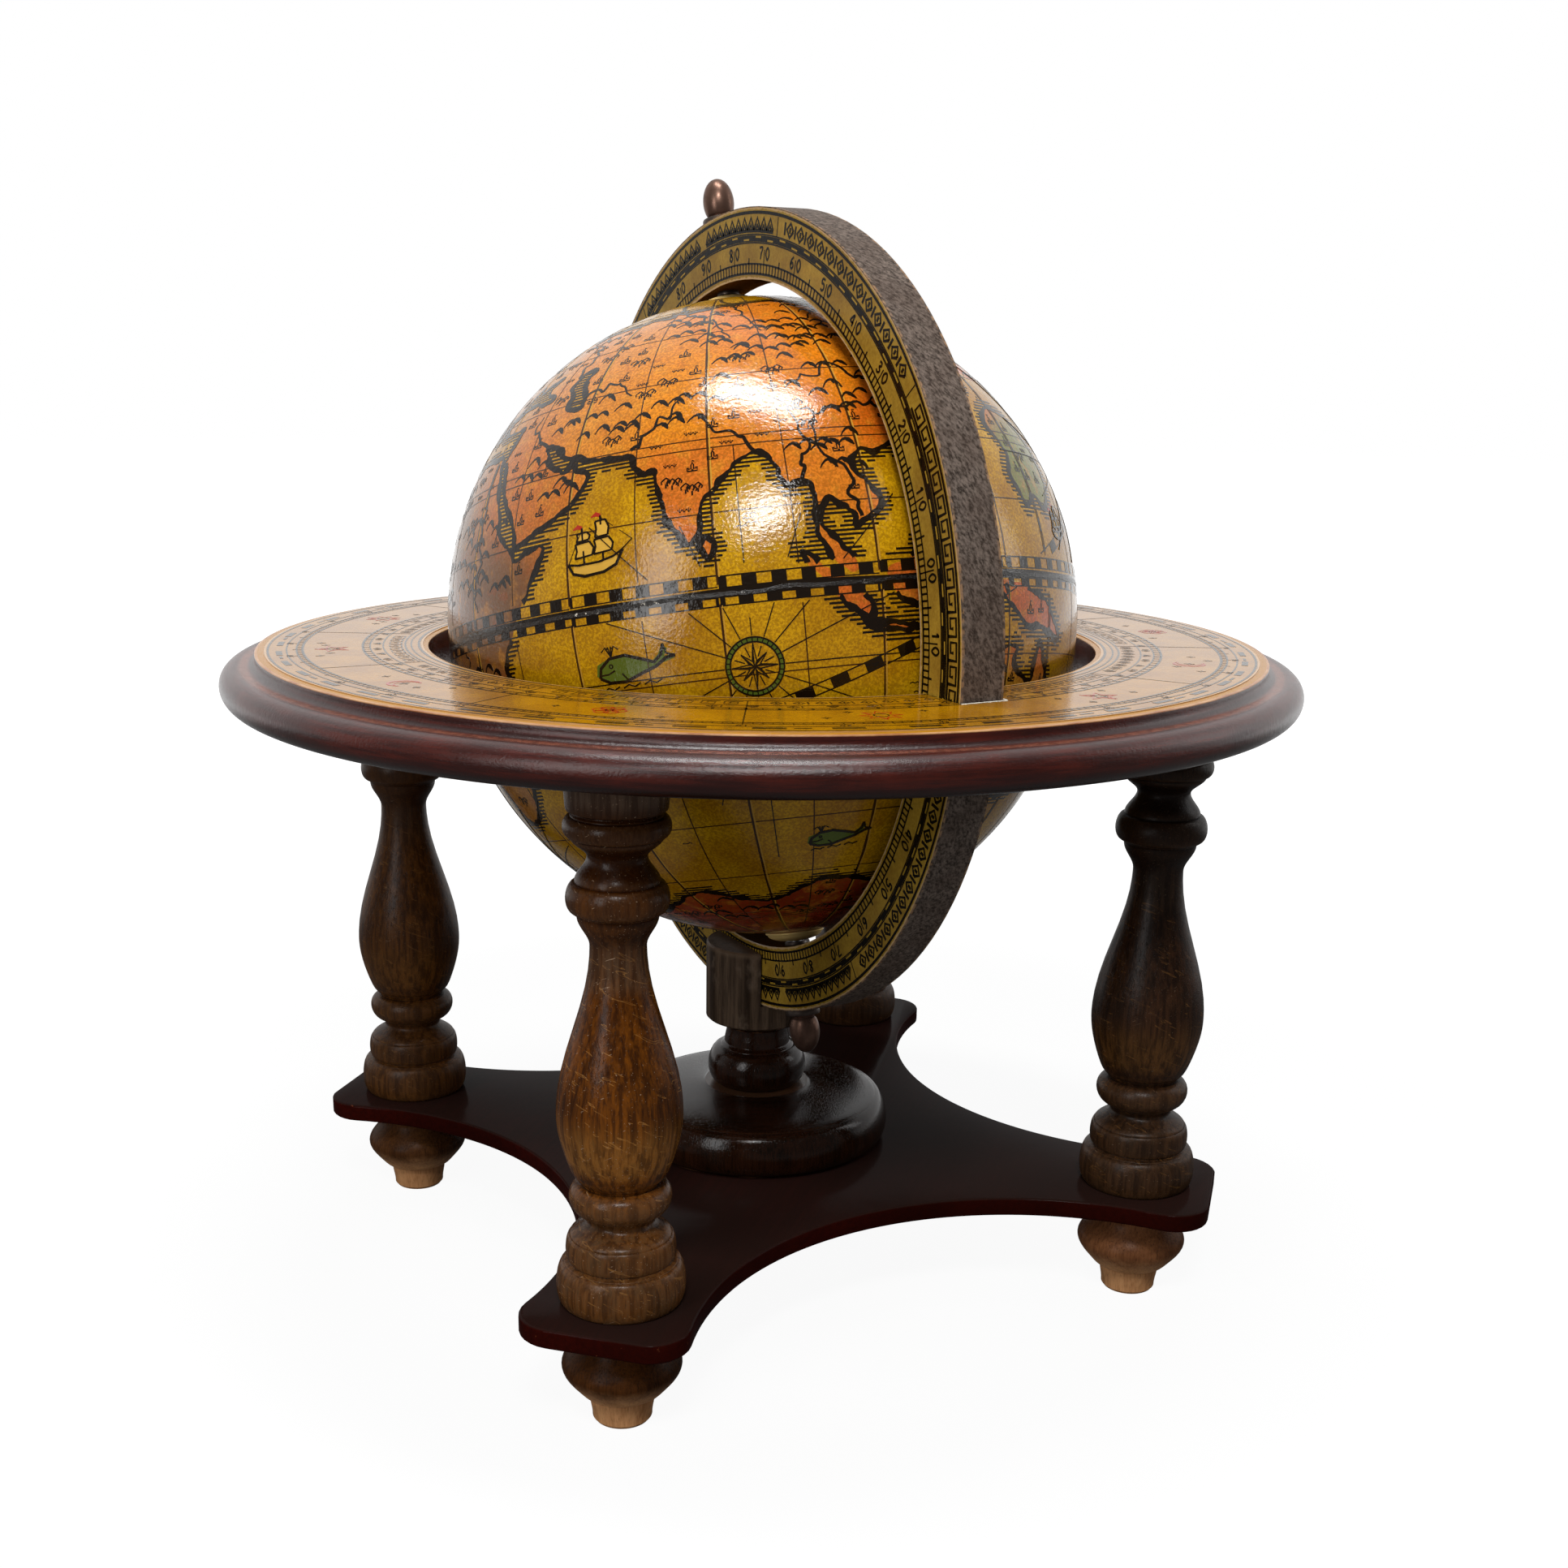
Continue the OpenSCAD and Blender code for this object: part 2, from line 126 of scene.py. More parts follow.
def area_lamp(name, towards, distance, width, height, watts, roll=0):
    """A soft box that faces the globe from the given direction, turned on its face by so many degrees."""
    lamp = bpy.data.lights.new(name, 'AREA')
    lamp.shape = 'RECTANGLE'
    lamp.size, lamp.size_y = width, height
    lamp.energy = watts
    towards = Vector(towards).normalized()
    obj = bpy.data.objects.new(name, lamp)
    facing = towards.to_track_quat('Z', 'Y').to_matrix().to_4x4()
    facing = facing @ Matrix.Rotation(math.radians(roll), 4, 'Z')
    obj.matrix_world = Matrix.Translation(GLOBE_AT + towards * distance) @ facing
    bpy.context.collection.objects.link(obj)


def set_light():
    bpy.context.scene.view_settings.view_transform = 'Standard'
    area_lamp("ceiling_panel", (-0.04, -0.03, 1.0), 1.25, 0.60, 0.20, 12)
    area_lamp("window_front", (-0.33, -0.62, 0.68), 1.5, 0.40, 0.20, 10, roll=28)
    area_lamp("window_left", (-0.95, -0.45, 0.35), 1.3, 0.34, 0.8, 4.2)
    area_lamp("window_right", (0.95, -0.30, 0.45), 1.4, 0.22, 0.7, 1.2)
    make_surroundings()


WHITE = (1, 1, 1, 1)
SURROUND_LIGHT, BACKDROP_GLOW = 0.21, 1.27
FLOOR_GREY, FLOOR_MIRRORED = (0.25, 0.25, 0.25, 1), (0.06, 0.06, 0.06, 1)
BEHIND_X, BEHIND_Y = 0.47, 0.87


def make_surroundings():
    """White all round to the eye, dimmer as light; the room in front mirrors darker than the backdrop."""
    world = bpy.data.worlds.new("surroundings")
    bpy.context.scene.world = world
    world.use_nodes = True
    nodes, links = world.node_tree.nodes, world.node_tree.links
    path = nodes.new("ShaderNodeLightPath")

    def spread(value, from_low, from_high, low, high):
        made = nodes.new("ShaderNodeMapRange")
        made.inputs["From Min"].default_value = from_low
        made.inputs["From Max"].default_value = from_high
        for name, end in (("To Min", low), ("To Max", high)):
            if isinstance(end, bpy.types.NodeSocket):
                links.new(end, made.inputs[name])
            else:
                made.inputs[name].default_value = end
        links.new(value, made.inputs["Value"])
        return made.outputs["Result"]

    forward = nodes.new("ShaderNodeVectorMath")
    forward.operation = 'DOT_PRODUCT'
    links.new(nodes.new("ShaderNodeTexCoord").outputs["Generated"], forward.inputs[0])
    forward.inputs[1].default_value = (-BEHIND_X, -BEHIND_Y, 0.1)
    mirrored = spread(forward.outputs["Value"], -0.5, 0.35, 1.0, 0.1)
    strength = spread(path.outputs["Is Glossy Ray"], 0, 1, SURROUND_LIGHT, mirrored)
    seen = nodes.new("ShaderNodeMath")
    seen.operation = 'MAXIMUM'
    links.new(path.outputs["Is Camera Ray"], seen.inputs[0])
    links.new(path.outputs["Is Transmission Ray"], seen.inputs[1])
    background = nodes["Background"]
    links.new(spread(seen.outputs[0], 0, 1, strength, 1.0), background.inputs["Strength"])
    background.inputs["Color"].default_value = WHITE


def make_floor():
    bm = bmesh.new()
    bmesh.ops.create_circle(bm, segments=64, radius=6, cap_ends=True)
    mesh = bpy.data.meshes.new("floor")
    bm.to_mesh(mesh)
    floor = bpy.data.objects.new("floor", mesh)
    bpy.context.collection.objects.link(floor)
    paint = Finish("floor_paper", roughness=1.0)
    path = paint.node("ShaderNodeLightPath")
    mirror_ray = path.outputs["Is Glossy Ray"]
    paint.set("Base Color", paint.mix(mirror_ray, FLOOR_GREY, FLOOR_MIRRORED))
    plain = paint.node("ShaderNodeEmission")
    plain.inputs["Color"].default_value = WHITE
    plain.inputs["Strength"].default_value = BACKDROP_GLOW
    shown = paint.calc('MAXIMUM', path.outputs["Is Camera Ray"], path.outputs["Is Transmission Ray"])
    x, y, _ = paint.parts()
    behind = paint.plus(paint.times(x, BEHIND_X), paint.times(y, BEHIND_Y))
    shown = paint.calc('MAXIMUM', shown, paint.times(mirror_ray, paint.step(behind, 0.2, 0.8, 0.08, 1)))
    share = paint.step(paint.from_axis(paint.place), 0.3, 0.9, 0.74, 1.0)
    both = paint.node("ShaderNodeMixShader")
    for socket, source in zip(both.inputs, (paint.times(shown, share), paint.shader.outputs[0],
                                            plain.outputs[0])):
        paint.links.new(source, socket)
    paint.links.new(both.outputs[0], paint.output.inputs["Surface"])
    mesh.materials.append(paint.material)


# ---- Wiring of finishes ----

def srgb(red, green, blue):
    """A colour as it is seen on paper, 0 to 255, turned into the shader's linear values."""
    return tuple(((c / 255 + 0.055) / 1.055) ** 2.4 if c > 10 else c / 255 / 12.92
                 for c in (red, green, blue)) + (1,)


class Finish:
    """One material while it is wired. Patterns are placed in metres on the piece's own coordinates."""

    def __init__(self, name, roughness=0.5, coat=0.0, coat_roughness=0.1, coat_ior=1.25, metallic=0.0):
        self.material = bpy.data.materials.new(name)
        self.material.use_nodes = True
        self.nodes = self.material.node_tree.nodes
        self.links = self.material.node_tree.links
        self.shader = self.nodes["Principled BSDF"]
        self.output = self.nodes["Material Output"]
        self.place = self.nodes.new("ShaderNodeTexCoord").outputs["Object"]
        self.set("Roughness", roughness)
        self.set("Metallic", metallic)
        self.set("Specular IOR Level", 0.0)
        self.set("Coat Weight", coat)
        self.set("Coat Roughness", coat_roughness)
        self.set("Coat IOR", coat_ior)

    def node(self, kind, **settings):
        made = self.nodes.new(kind)
        for key, value in settings.items():
            setattr(made, key, value)
        return made

    def put(self, socket, value):
        """Wires a pattern to a socket, or sets a plain value there; three numbers are a colour on paper."""
        if isinstance(value, bpy.types.NodeSocket):
            self.links.new(value, socket)
        elif socket.type == 'RGBA' and len(value) == 3:
            socket.default_value = srgb(*value)
        else:
            socket.default_value = value

    def set(self, name, value):
        self.put(self.shader.inputs[name], value)

    def calc(self, operation, a, b=0.0, clamp=False):
        made = self.node("ShaderNodeMath", operation=operation, use_clamp=clamp)
        self.put(made.inputs[0], a)
        self.put(made.inputs[1], b)
        return made.outputs[0]

    def moved(self, at=(0, 0, 0), turn=(0, 0, 0), stretch=(1, 1, 1), vector=None):
        """The place on the piece, taken from another origin, turned, and squeezed."""
        made = self.node("ShaderNodeMapping", vector_type='TEXTURE')
        self.put(made.inputs["Vector"], vector or self.place)
        made.inputs["Location"].default_value = at
        made.inputs["Rotation"].default_value = turn
        made.inputs["Scale"].default_value = stretch
        return made.outputs[0]

    def times(self, a, b):
        return self.calc('MULTIPLY', a, b)

    def plus(self, a, b):
        return self.calc('ADD', a, b)

    def less(self, a, b):
        return self.calc('SUBTRACT', a, b)

    def noise(self, size, detail=3, roughness=0.5, vector=None, distortion=0.0, **laid):
        """Noise with features of about the given size in mm, turned and stretched as moved() says."""
        made = self.node("ShaderNodeTexNoise")
        if laid:
            vector = self.moved(vector=vector, **laid)
        self.put(made.inputs["Vector"], vector or self.place)
        made.inputs["Scale"].default_value = 1 / (size * MM)
        made.inputs["Detail"].default_value = detail
        made.inputs["Roughness"].default_value = roughness
        made.inputs["Distortion"].default_value = distortion
        return made.outputs["Fac"]

    def step(self, value, low=0.3, high=0.7, to_low=0.0, to_high=1.0):
        """A soft step from one value to another, as the pattern goes from low to high."""
        made = self.node("ShaderNodeMapRange", interpolation_type='SMOOTHSTEP')
        self.put(made.inputs["Value"], value)
        made.inputs["From Min"].default_value = low
        made.inputs["From Max"].default_value = high
        made.inputs["To Min"].default_value = to_low
        made.inputs["To Max"].default_value = to_high
        return made.outputs["Result"]

    def mix(self, factor, a, b):
        """The first colour, giving way to the second as the factor goes from 0 to 1."""
        made = self.node("ShaderNodeMix", data_type='RGBA')
        self.put(made.inputs["Factor"], factor)
        self.put(made.inputs[6], a)
        self.put(made.inputs[7], b)
        return made.outputs[2]

    def parts(self, vector=None):
        made = self.node("ShaderNodeSeparateXYZ")
        self.put(made.inputs[0], vector or self.place)
        return made.outputs

    def from_axis(self, vector, axes="XY"):
        """Distance from an axis, in the plane of the two named directions."""
        x, y = (self.parts(vector)["XYZ".index(a)] for a in axes)
        return self.calc('SQRT', self.plus(self.times(x, x), self.times(y, y)))

    def band(self, value, rise, full, ebb, end):
        """1 between two edges: it rises from the first number to the second, and falls from the third."""
        return self.times(self.step(value, rise, full), self.step(value, end, ebb))

    def attribute(self, name, colour=False):
        made = self.node("ShaderNodeAttribute", attribute_name=name)
        return made.outputs["Color" if colour else "Fac"]

    def edges_and_hollows(self, low, high):
        """1 on outer edges and 0 in hollows, or the other way with the higher number first."""
        return self.step(self.node("ShaderNodeNewGeometry").outputs["Pointiness"], low, high)

    def bump(self, height, depth, coat_too=True):
        """Relief of the given depth in mm."""
        made = self.node("ShaderNodeBump")
        made.inputs["Distance"].default_value = depth * MM
        made.inputs["Strength"].default_value = 1.0
        self.put(made.inputs["Height"], height)
        self.set("Normal", made.outputs[0])
        if coat_too:
            self.set("Coat Normal", made.outputs[0])

    def finished(self, colour, pattern, rough, relief, depth, span=(0.3, 0.7)):
        """Sets the colour, a roughness that follows the pattern between two values, and relief in mm."""
        self.set("Base Color", colour)
        self.set("Roughness", self.step(pattern, *span, *rough))
        self.bump(relief, depth)
        return self.material


# ---- Pieces ----

def add_piece(name, bm, material, body, replaces=(), smooth_angle=35.0):
    """Puts a finished mesh in the scene, on its body and in place of its CAD solids."""
    mesh = bpy.data.meshes.new(name)
    bm.to_mesh(mesh)
    bm.free()
    return add_mesh(name, mesh, material, body, replaces, smooth_angle)


def add_mesh(name, mesh, material, body, replaces=(), smooth_angle=None):
    mesh.name = name
    piece = bpy.data.objects.new(name, mesh)
    bpy.context.collection.objects.link(piece)
    mesh.materials.append(material)
    if smooth_angle is not None:
        shade(piece, smooth_angle)
    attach(piece, body)
    if replaces:
        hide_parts(*replaces)
    return piece


def shade(piece, angle):
    """Smooth, with a crease wherever two faces turn by more than the angle."""
    piece.data.shade_smooth()
    piece.data.set_sharp_from_angle(angle=math.radians(angle))


def close_up(bm):
    bmesh.ops.remove_doubles(bm, verts=bm.verts, dist=1e-6)
    bmesh.ops.recalc_face_normals(bm, faces=bm.faces)


def spun(outline, segments, closed=False):
    """A solid of revolution about Z from (radius, height) points in mm."""
    bm = bmesh.new()
    points = [bm.verts.new((r * MM, 0, z * MM)) for r, z in outline]
    edges = [bm.edges.new(pair) for pair in zip(points, points[1:] + points[:1] if closed else points[1:])]
    bmesh.ops.spin(bm, geom=points + edges, cent=(0, 0, 0), axis=(0, 0, 1), angle=math.tau,
                   steps=segments, use_merge=True)
    close_up(bm)
    return bm


OUTLINE_POINTS = 12


def turned_outline(steps):
    """Steps are (height of the top, radius there, bulge halfway, roundness), in mm."""
    outline = [(steps[0][1], steps[0][0])]
    for (z0, r0, *_), (z1, r1, bulge, roundness) in zip(steps, steps[1:]):
        for i in range(1, OUTLINE_POINTS + 1):
            u = math.pi * i / OUTLINE_POINTS
            t = (1 - math.cos(u)) / 2
            soft = (1 - math.cos(math.pi * t)) / 2
            quarter = math.sqrt(1 - (1 - t) ** 2) if roundness > 0 else 1 - math.sqrt(1 - t * t)
            outline.append((r0 + (r1 - r0) * (soft + (quarter - soft) * abs(roundness))
                            + bulge * math.sin(u), z0 + (z1 - z0) * t))
    return [(0, steps[0][0])] + outline + [(0, steps[-1][0])]


def turned(steps, segments=64):
    return spun(turned_outline(steps), segments)


def placed(bm, matrix):
    bmesh.ops.transform(bm, matrix=matrix, verts=bm.verts)
    return bm


def softened(bm, width, angle=50, segments=3):
    """Rounds every edge that is sharper than the angle."""
    edges = [e for e in bm.edges if len(e.link_faces) == 2 and e.calc_face_angle(0) > math.radians(angle)]
    bmesh.ops.bevel(bm, geom=edges, offset=width * MM, offset_type='OFFSET', affect='EDGES',
                    segments=segments, profile=0.5, material=-1, clamp_overlap=True)
    return bm


def cut_out(piece, cutter_bm):
    """Takes the cutter's shape out of the piece."""
    mesh = bpy.data.meshes.new("cutter")
    cutter_bm.to_mesh(mesh)
    cutter_bm.free()
    cutter = bpy.data.objects.new("cutter", mesh)
    bpy.context.collection.objects.link(cutter)
    cut = piece.modifiers.new("cut", 'BOOLEAN')
    cut.operation, cut.solver, cut.object = 'DIFFERENCE', 'EXACT', cutter
    shape = bpy.data.meshes.new_from_object(piece.evaluated_get(bpy.context.evaluated_depsgraph_get()))
    piece.modifiers.clear()
    old, piece.data = piece.data, shape
    shape.name = piece.name
    bpy.data.objects.remove(cutter)
    bpy.data.meshes.remove(old)
    return piece


# ---- Wood ----

def add_grain(paint, here, pith, light, dark, ring=2.6, rings=0.16, pores=1.0):
    """Faint growth rings round the tree's own heart, under short dark pores and fine fibres."""
    wander = paint.moved(stretch=(1, 1, 6), vector=here)
    bent = paint.node("ShaderNodeVectorMath", operation='MULTIPLY_ADD')
    drift = paint.node("ShaderNodeTexNoise")
    paint.links.new(wander, drift.inputs["Vector"])
    drift.inputs["Scale"].default_value = 45
    drift.inputs["Detail"].default_value = 2
    paint.links.new(drift.outputs["Color"], bent.inputs[0])
    bent.inputs[1].default_value = (0.012, 0.012, 0)
    paint.links.new(here, bent.inputs[2])
    tree = paint.moved(at=pith, turn=(0.03, 0.05, 0), vector=bent.outputs[0])
    year = paint.calc('FRACT', paint.calc('DIVIDE', paint.from_axis(tree), ring * MM))
    late = paint.band(year, 0.1, 0.9, 0.93, 1.0)
    fibre = paint.noise(0.7, detail=4, roughness=0.65, vector=here, stretch=(1, 1, 16))
    flecks = paint.noise(0.5, detail=2, vector=here, stretch=(1, 1, 7))
    cloud = paint.noise(15, vector=here, stretch=(1, 1, 2))
    tone = paint.plus(paint.times(late, rings), paint.times(paint.step(fibre, 0.32, 0.72), 0.46))
    tone = paint.calc('ADD', tone, paint.times(paint.step(cloud), 0.5), clamp=True)
    colour = paint.mix(tone, light, dark)
    pore = paint.step(flecks, 0.4, 0.3)
    colour = paint.mix(paint.times(pore, 0.5 * pores), colour, (24, 12, 5))
    return colour, fibre, pore


def above_board(height):
    return BOARD_TOP + height * MM


def turned_wood(name, at, seed, light, dark, top, scratched):
    """Stained and varnished wood: darker towards its top, rubbed grey on its beads, with painted shade in
    its grooves.
    """
    paint = Finish(name, roughness=0.5, coat=0.5, coat_roughness=0.38 - 0.14 * scratched, coat_ior=1.4)
    here = paint.moved(at=at)
    up = paint.parts(here)[2]
    heart = Vector((math.cos(seed * 2.4) * 12, 46 + 9 * math.sin(seed * 1.7), 0)) * MM
    colour, fibre, pore = add_grain(paint, here, heart, light, dark)
    height = paint.plus(up, paint.times(paint.noise(18, detail=2), 30 * MM))
    colour = paint.mix(paint.step(height, above_board(80), above_board(150), 0, 0.85), colour, top)
    streaks = paint.noise(1.7, roughness=0.6, vector=here, stretch=(1, 1, 26))
    colour = paint.mix(paint.step(streaks, 0.44, 0.62, 0, 0.75), colour, dark)
    curls = paint.noise(1.3, detail=1, turn=(0.2, 0.4, 0.3), stretch=(6, 6, 1), distortion=0.7)
    curls = paint.band(curls, 0.665, 0.68, 0.695, 0.72)
    curls = paint.times(curls, paint.step(up, above_board(110), above_board(96)))
    colour = paint.mix(paint.times(curls, 0.55 * scratched), colour, (168, 116, 58))
    scuffs = paint.noise(0.7, detail=5, roughness=0.7, vector=here, stretch=(1, 1, 5))
    edge = paint.times(paint.edges_and_hollows(0.505, 0.54), paint.step(scuffs, 0.3, 0.7, 0.25, 1))
    colour = paint.mix(paint.times(edge, 0.12 + 0.3 * scratched), colour, (122, 86, 56))
    for low, high, tone, share in LEG_PALE_BANDS:
        zone = paint.band(up, *(above_board(z) for z in (low, low + 5, high - 12, high)))
        zone = paint.times(zone, paint.step(streaks, 0.62, 0.38, 0.35, 1))
        colour = paint.mix(paint.times(zone, share * scratched), colour, tone)
    # Painted shade: the hollows of the turning are painted near black
    colour = paint.mix(paint.times(paint.edges_and_hollows(0.49, 0.44), 0.85), colour, (16, 8, 4))
    for turn in (0.4, -0.7):
        nicks = paint.noise(0.5, detail=2, turn=(turn, 0.9, 0.2), stretch=(1, 14, 1))
        colour = paint.mix(paint.step(nicks, 0.7, 0.74, 0, 0.5 * scratched), colour, (178, 150, 122))
    relief = paint.less(paint.times(paint.noise(0.35), 0.4), paint.times(pore, 0.4))
    relief = paint.plus(relief, paint.times(paint.noise(1.6), 0.7))
    relief = paint.plus(relief, paint.times(paint.noise(7, detail=2), 1.6))
    return paint.finished(colour, fibre, (0.38, 0.55), relief, 0.09)


# Half diameters of the turned pieces in mm, and their outlines from the board, the foot and the disc upwards
BASE_R, BEAD_R, VASE_R, LEG_NECK_R = 18.5, 14.6, 17.7, 7.8
LEG_H = round((RING_BOTTOM - BOARD_TOP) / MM, 3)
LEG_STEPS = [(0, BASE_R - 2, 0, 0), (12.4, BASE_R - 2.2, 2.1, 0), (13.2, BEAD_R + 0.2, 0, 0),
             (20.5, BEAD_R, 1, 0), (25.2, BEAD_R - 5, 0, 0), (27.4, BEAD_R - 4.1, 0, 0),
             (36.4, BEAD_R - 3.6, 3.8, 0), (37.8, BEAD_R - 3, 0, 0), (57, VASE_R, 0, 0.7),
             (LEG_H - 49.5, LEG_NECK_R, 0, 0), (LEG_H - 41, BEAD_R - 3.4, 0, 0),
             (LEG_H - 40, BEAD_R - 2.6, 0, 0), (LEG_H - 31.6, BEAD_R - 2.9, 2.3, 0),
             (LEG_H - 24.6, LEG_NECK_R + 0.4, 0, 0), (LEG_H - 19.2, BEAD_R - 1.9, 0, 0),
             (LEG_H - 13.4, BEAD_R - 2, 2, 0), (LEG_H - 12.4, BEAD_R - 2.6, 0, 0),
             (LEG_H - 11.6, BEAD_R - 0.9, 0, 0), (LEG_H, BEAD_R - 0.5, 0.3, 0)]
# Bands where a leg is paler: from and to, in mm above the board, with the colour there and its strength
LEG_PALE_BANDS = ((-6, 42, (94, 70, 46), 0.55), (40, 62, (158, 108, 50), 0.5), (92, 113, (112, 88, 66), 0.35),
            (LEG_H - 12, LEG_H + 6, (116, 96, 80), 0.5))
PEG_R, FOOT_R = 9.2, 17.5
FOOT_H = BOARD_BOTTOM / MM
FOOT_STEPS = [
    (0, PEG_R - 1.2, 0, 0), (1, PEG_R - 0.5, 0, 0), (8.2, PEG_R + 0.4, 0, 0), (8.8, PEG_R + 1.6, 0, 0),
    (17.6, FOOT_R, 0, 0.5), (FOOT_H - 5, FOOT_R - 5, 0, 0), (FOOT_H, FOOT_R - 5.2, 0, 0)]
DISC_R, BULGE_R, DISC_H = 45, 16.7, 19
DISC_STEPS = [(0, DISC_R - 3.6, 0, 0), (1, DISC_R - 2.8, 0, 0), (15.2, DISC_R - 4, 3.4, 0),
              (DISC_H, BULGE_R + 1, 0, 0)]
HOLDER_BOTTOM, HOLDER_TOP = (corner.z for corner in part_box("ring_holder"))
HOLDER_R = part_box("ring_holder")[1].x / MM
NECK_H = (HOLDER_BOTTOM - BOARD_TOP) / MM - DISC_H
NECK_STEPS = [
    (0, BULGE_R - 3.8, 0, 0), (NECK_H * 0.56, BULGE_R - 4.2, 4, 0), (NECK_H * 0.62, BULGE_R - 5.6, 0, 0),
    (NECK_H * 0.86, BULGE_R - 6.4, 0, 0), (NECK_H, BULGE_R - 4, 0.4, 0)]


# Stain of each leg: its pale and dark grain, its top, and its foot's pale and dark grain
LEG_STAINS = {
    "front_left": ((132, 72, 8), (44, 18, 2), (40, 19, 6), (84, 48, 20), (38, 19, 7)),
    "back_left": ((104, 62, 22), (46, 23, 7), (44, 24, 10), (96, 60, 32), (48, 26, 12)),
    "front_right": ((66, 40, 22), (24, 12, 6), (22, 12, 7), (132, 86, 54), (80, 46, 26)),
    "back_right": ((74, 44, 22), (36, 19, 9), (30, 16, 9), (112, 72, 44), (66, 38, 20))}


def make_legs_and_feet():
    for number, (end, y) in enumerate((("front", -1), ("back", 1))):
        for side, x in (("left", -1), ("right", 1)):
            at = Vector((x * LEG_AT, y * LEG_AT, 0))
            corner = f"{end}_{side}"
            seed = 2 * number + (x + 1) / 2
            light, dark, top, foot_light, foot_dark = LEG_STAINS[corner]
            scratched = 1.0 if corner == "front_left" else 0.3
            wood = turned_wood(f"walnut_stain_{corner}", at, seed, light, dark, top, scratched)
            leg = placed(turned(LEG_STEPS), Matrix.Translation(at + UP * BOARD_TOP))
            add_piece(f"turned_leg_{corner}", leg, wood, "stand", [f"leg_{corner}"])
            pale = foot_wood(f"foot_stain_{corner}", at, seed, foot_light, foot_dark)
            foot = placed(turned(FOOT_STEPS), Matrix.Translation(at))
            add_piece(f"turned_foot_{corner}", foot, pale, "stand", [f"foot_{corner}"])


def foot_wood(name, at, seed, light, dark):
    """The stain ends at the peg, where the bare wood shows."""
    paint = Finish(name, roughness=0.5, coat=0.4, coat_roughness=0.3)
    here = paint.moved(at=at)
    heart = Vector((18, 40 + 7 * seed, 0)) * MM
    stained, fibre, pore = add_grain(paint, here, heart, light, dark)
    bare, *_ = add_grain(paint, here, heart, (214, 160, 110), (160, 110, 70), pores=0.4)
    height = paint.plus(paint.parts(here)[2], paint.times(paint.noise(3), 3 * MM))
    colour = paint.mix(paint.step(height, 11 * MM, 19 * MM), bare, stained)
    return paint.finished(colour, fibre, (0.42, 0.6), paint.less(paint.noise(0.4), pore), 0.05)


def board_outline():
    """The board's outline from the middle of its concave sides to its rounded arms, in mm."""
    waist, arm_end, side_r, corner_r, turn_points = 76, 25, 102, 12, 8
    arm_r, side_at = LEG_AT / MM * math.sqrt(2) + arm_end, waist + side_r
    k = (arm_r - corner_r) * math.sqrt(2) - side_at
    corner = Vector(((k + math.sqrt(2 * (side_r + corner_r) ** 2 - k * k)) / 2, 0))
    corner.y = (arm_r - corner_r) * math.sqrt(2) - corner.x
    away = Vector((corner.x, corner.y - side_at))
    touch = math.atan2(away.y, away.x)
    side = [Vector((side_r * math.cos(a), side_at + side_r * math.sin(a)))
            for a in np.linspace(-math.pi / 2, touch, 25)]
    bend = [corner + Vector((math.cos(a), math.sin(a))) * corner_r
            for a in np.linspace(touch + math.pi, math.pi / 4, turn_points + 1) % math.tau]
    return side, bend


def board_varnish():
    paint = Finish("mahogany_varnish", roughness=0.42, coat=0.14, coat_roughness=0.14)
    drift = paint.noise(60)
    streak = paint.noise(1.6, detail=4, roughness=0.6, turn=(0, 0, 0.78), stretch=(14, 1, 1))
    colour = paint.mix(paint.step(drift), (54, 11, 6), (32, 6, 3))
    colour = paint.mix(paint.times(paint.step(streak, 0.35, 0.7), 0.5), colour, (28, 6, 4))
    # Painted sheen: the top face is painted greyer than the red edges
    top = paint.step(paint.parts()[2], BOARD_TOP - 0.6 * MM, BOARD_TOP - 0.1 * MM, 0, 0.55)
    colour = paint.mix(top, colour, (46, 36, 32))
    chips = paint.times(paint.edges_and_hollows(0.53, 0.56), paint.step(paint.noise(1.6), 0.7, 0.75))
    colour = paint.mix(chips, colour, (150, 84, 54))
    relief = paint.plus(paint.times(paint.noise(0.9), 0.35), paint.noise(9, detail=1))
    return paint.finished(colour, drift, (0.36, 0.5), relief, 0.05)


def make_board():
    side, bend = board_outline()
    arm = [Vector((-p.x, p.y)) for p in side[:-1] + bend]
    arm += [Vector((-p.y, p.x)) for p in reversed(side[1:-1] + bend[:-1])]
    points = [Matrix.Rotation(turn * math.pi / 2, 2) @ p for turn in range(4) for p in arm]
    bm = bmesh.new()
    face = bm.faces.new([bm.verts.new((p.x * MM, p.y * MM, BOARD_BOTTOM)) for p in points])
    raised = bmesh.ops.extrude_face_region(bm, geom=[face])
    bmesh.ops.translate(bm, vec=(0, 0, BOARD_TOP - BOARD_BOTTOM),
                        verts=[v for v in raised["geom"] if isinstance(v, bmesh.types.BMVert)])
    close_up(bm)
    softened(bm, 0.9)
    add_piece("varnished_board", bm, board_varnish(), "stand", ["base_plate"])


def black_varnish():
    paint = Finish("black_varnish", roughness=0.4, coat=0.7, coat_roughness=0.1, coat_ior=1.42)
    colour, fibre, pore = add_grain(paint, paint.place, Vector((20, 60, 0)) * MM, (52, 27, 14), (13, 7, 3))
    colour = paint.mix(paint.times(paint.edges_and_hollows(0.52, 0.57), 0.5), colour, (120, 84, 60))
    relief = paint.less(paint.noise(0.5), paint.times(pore, 0.6))
    return paint.finished(colour, fibre, (0.34, 0.5), relief, 0.05)


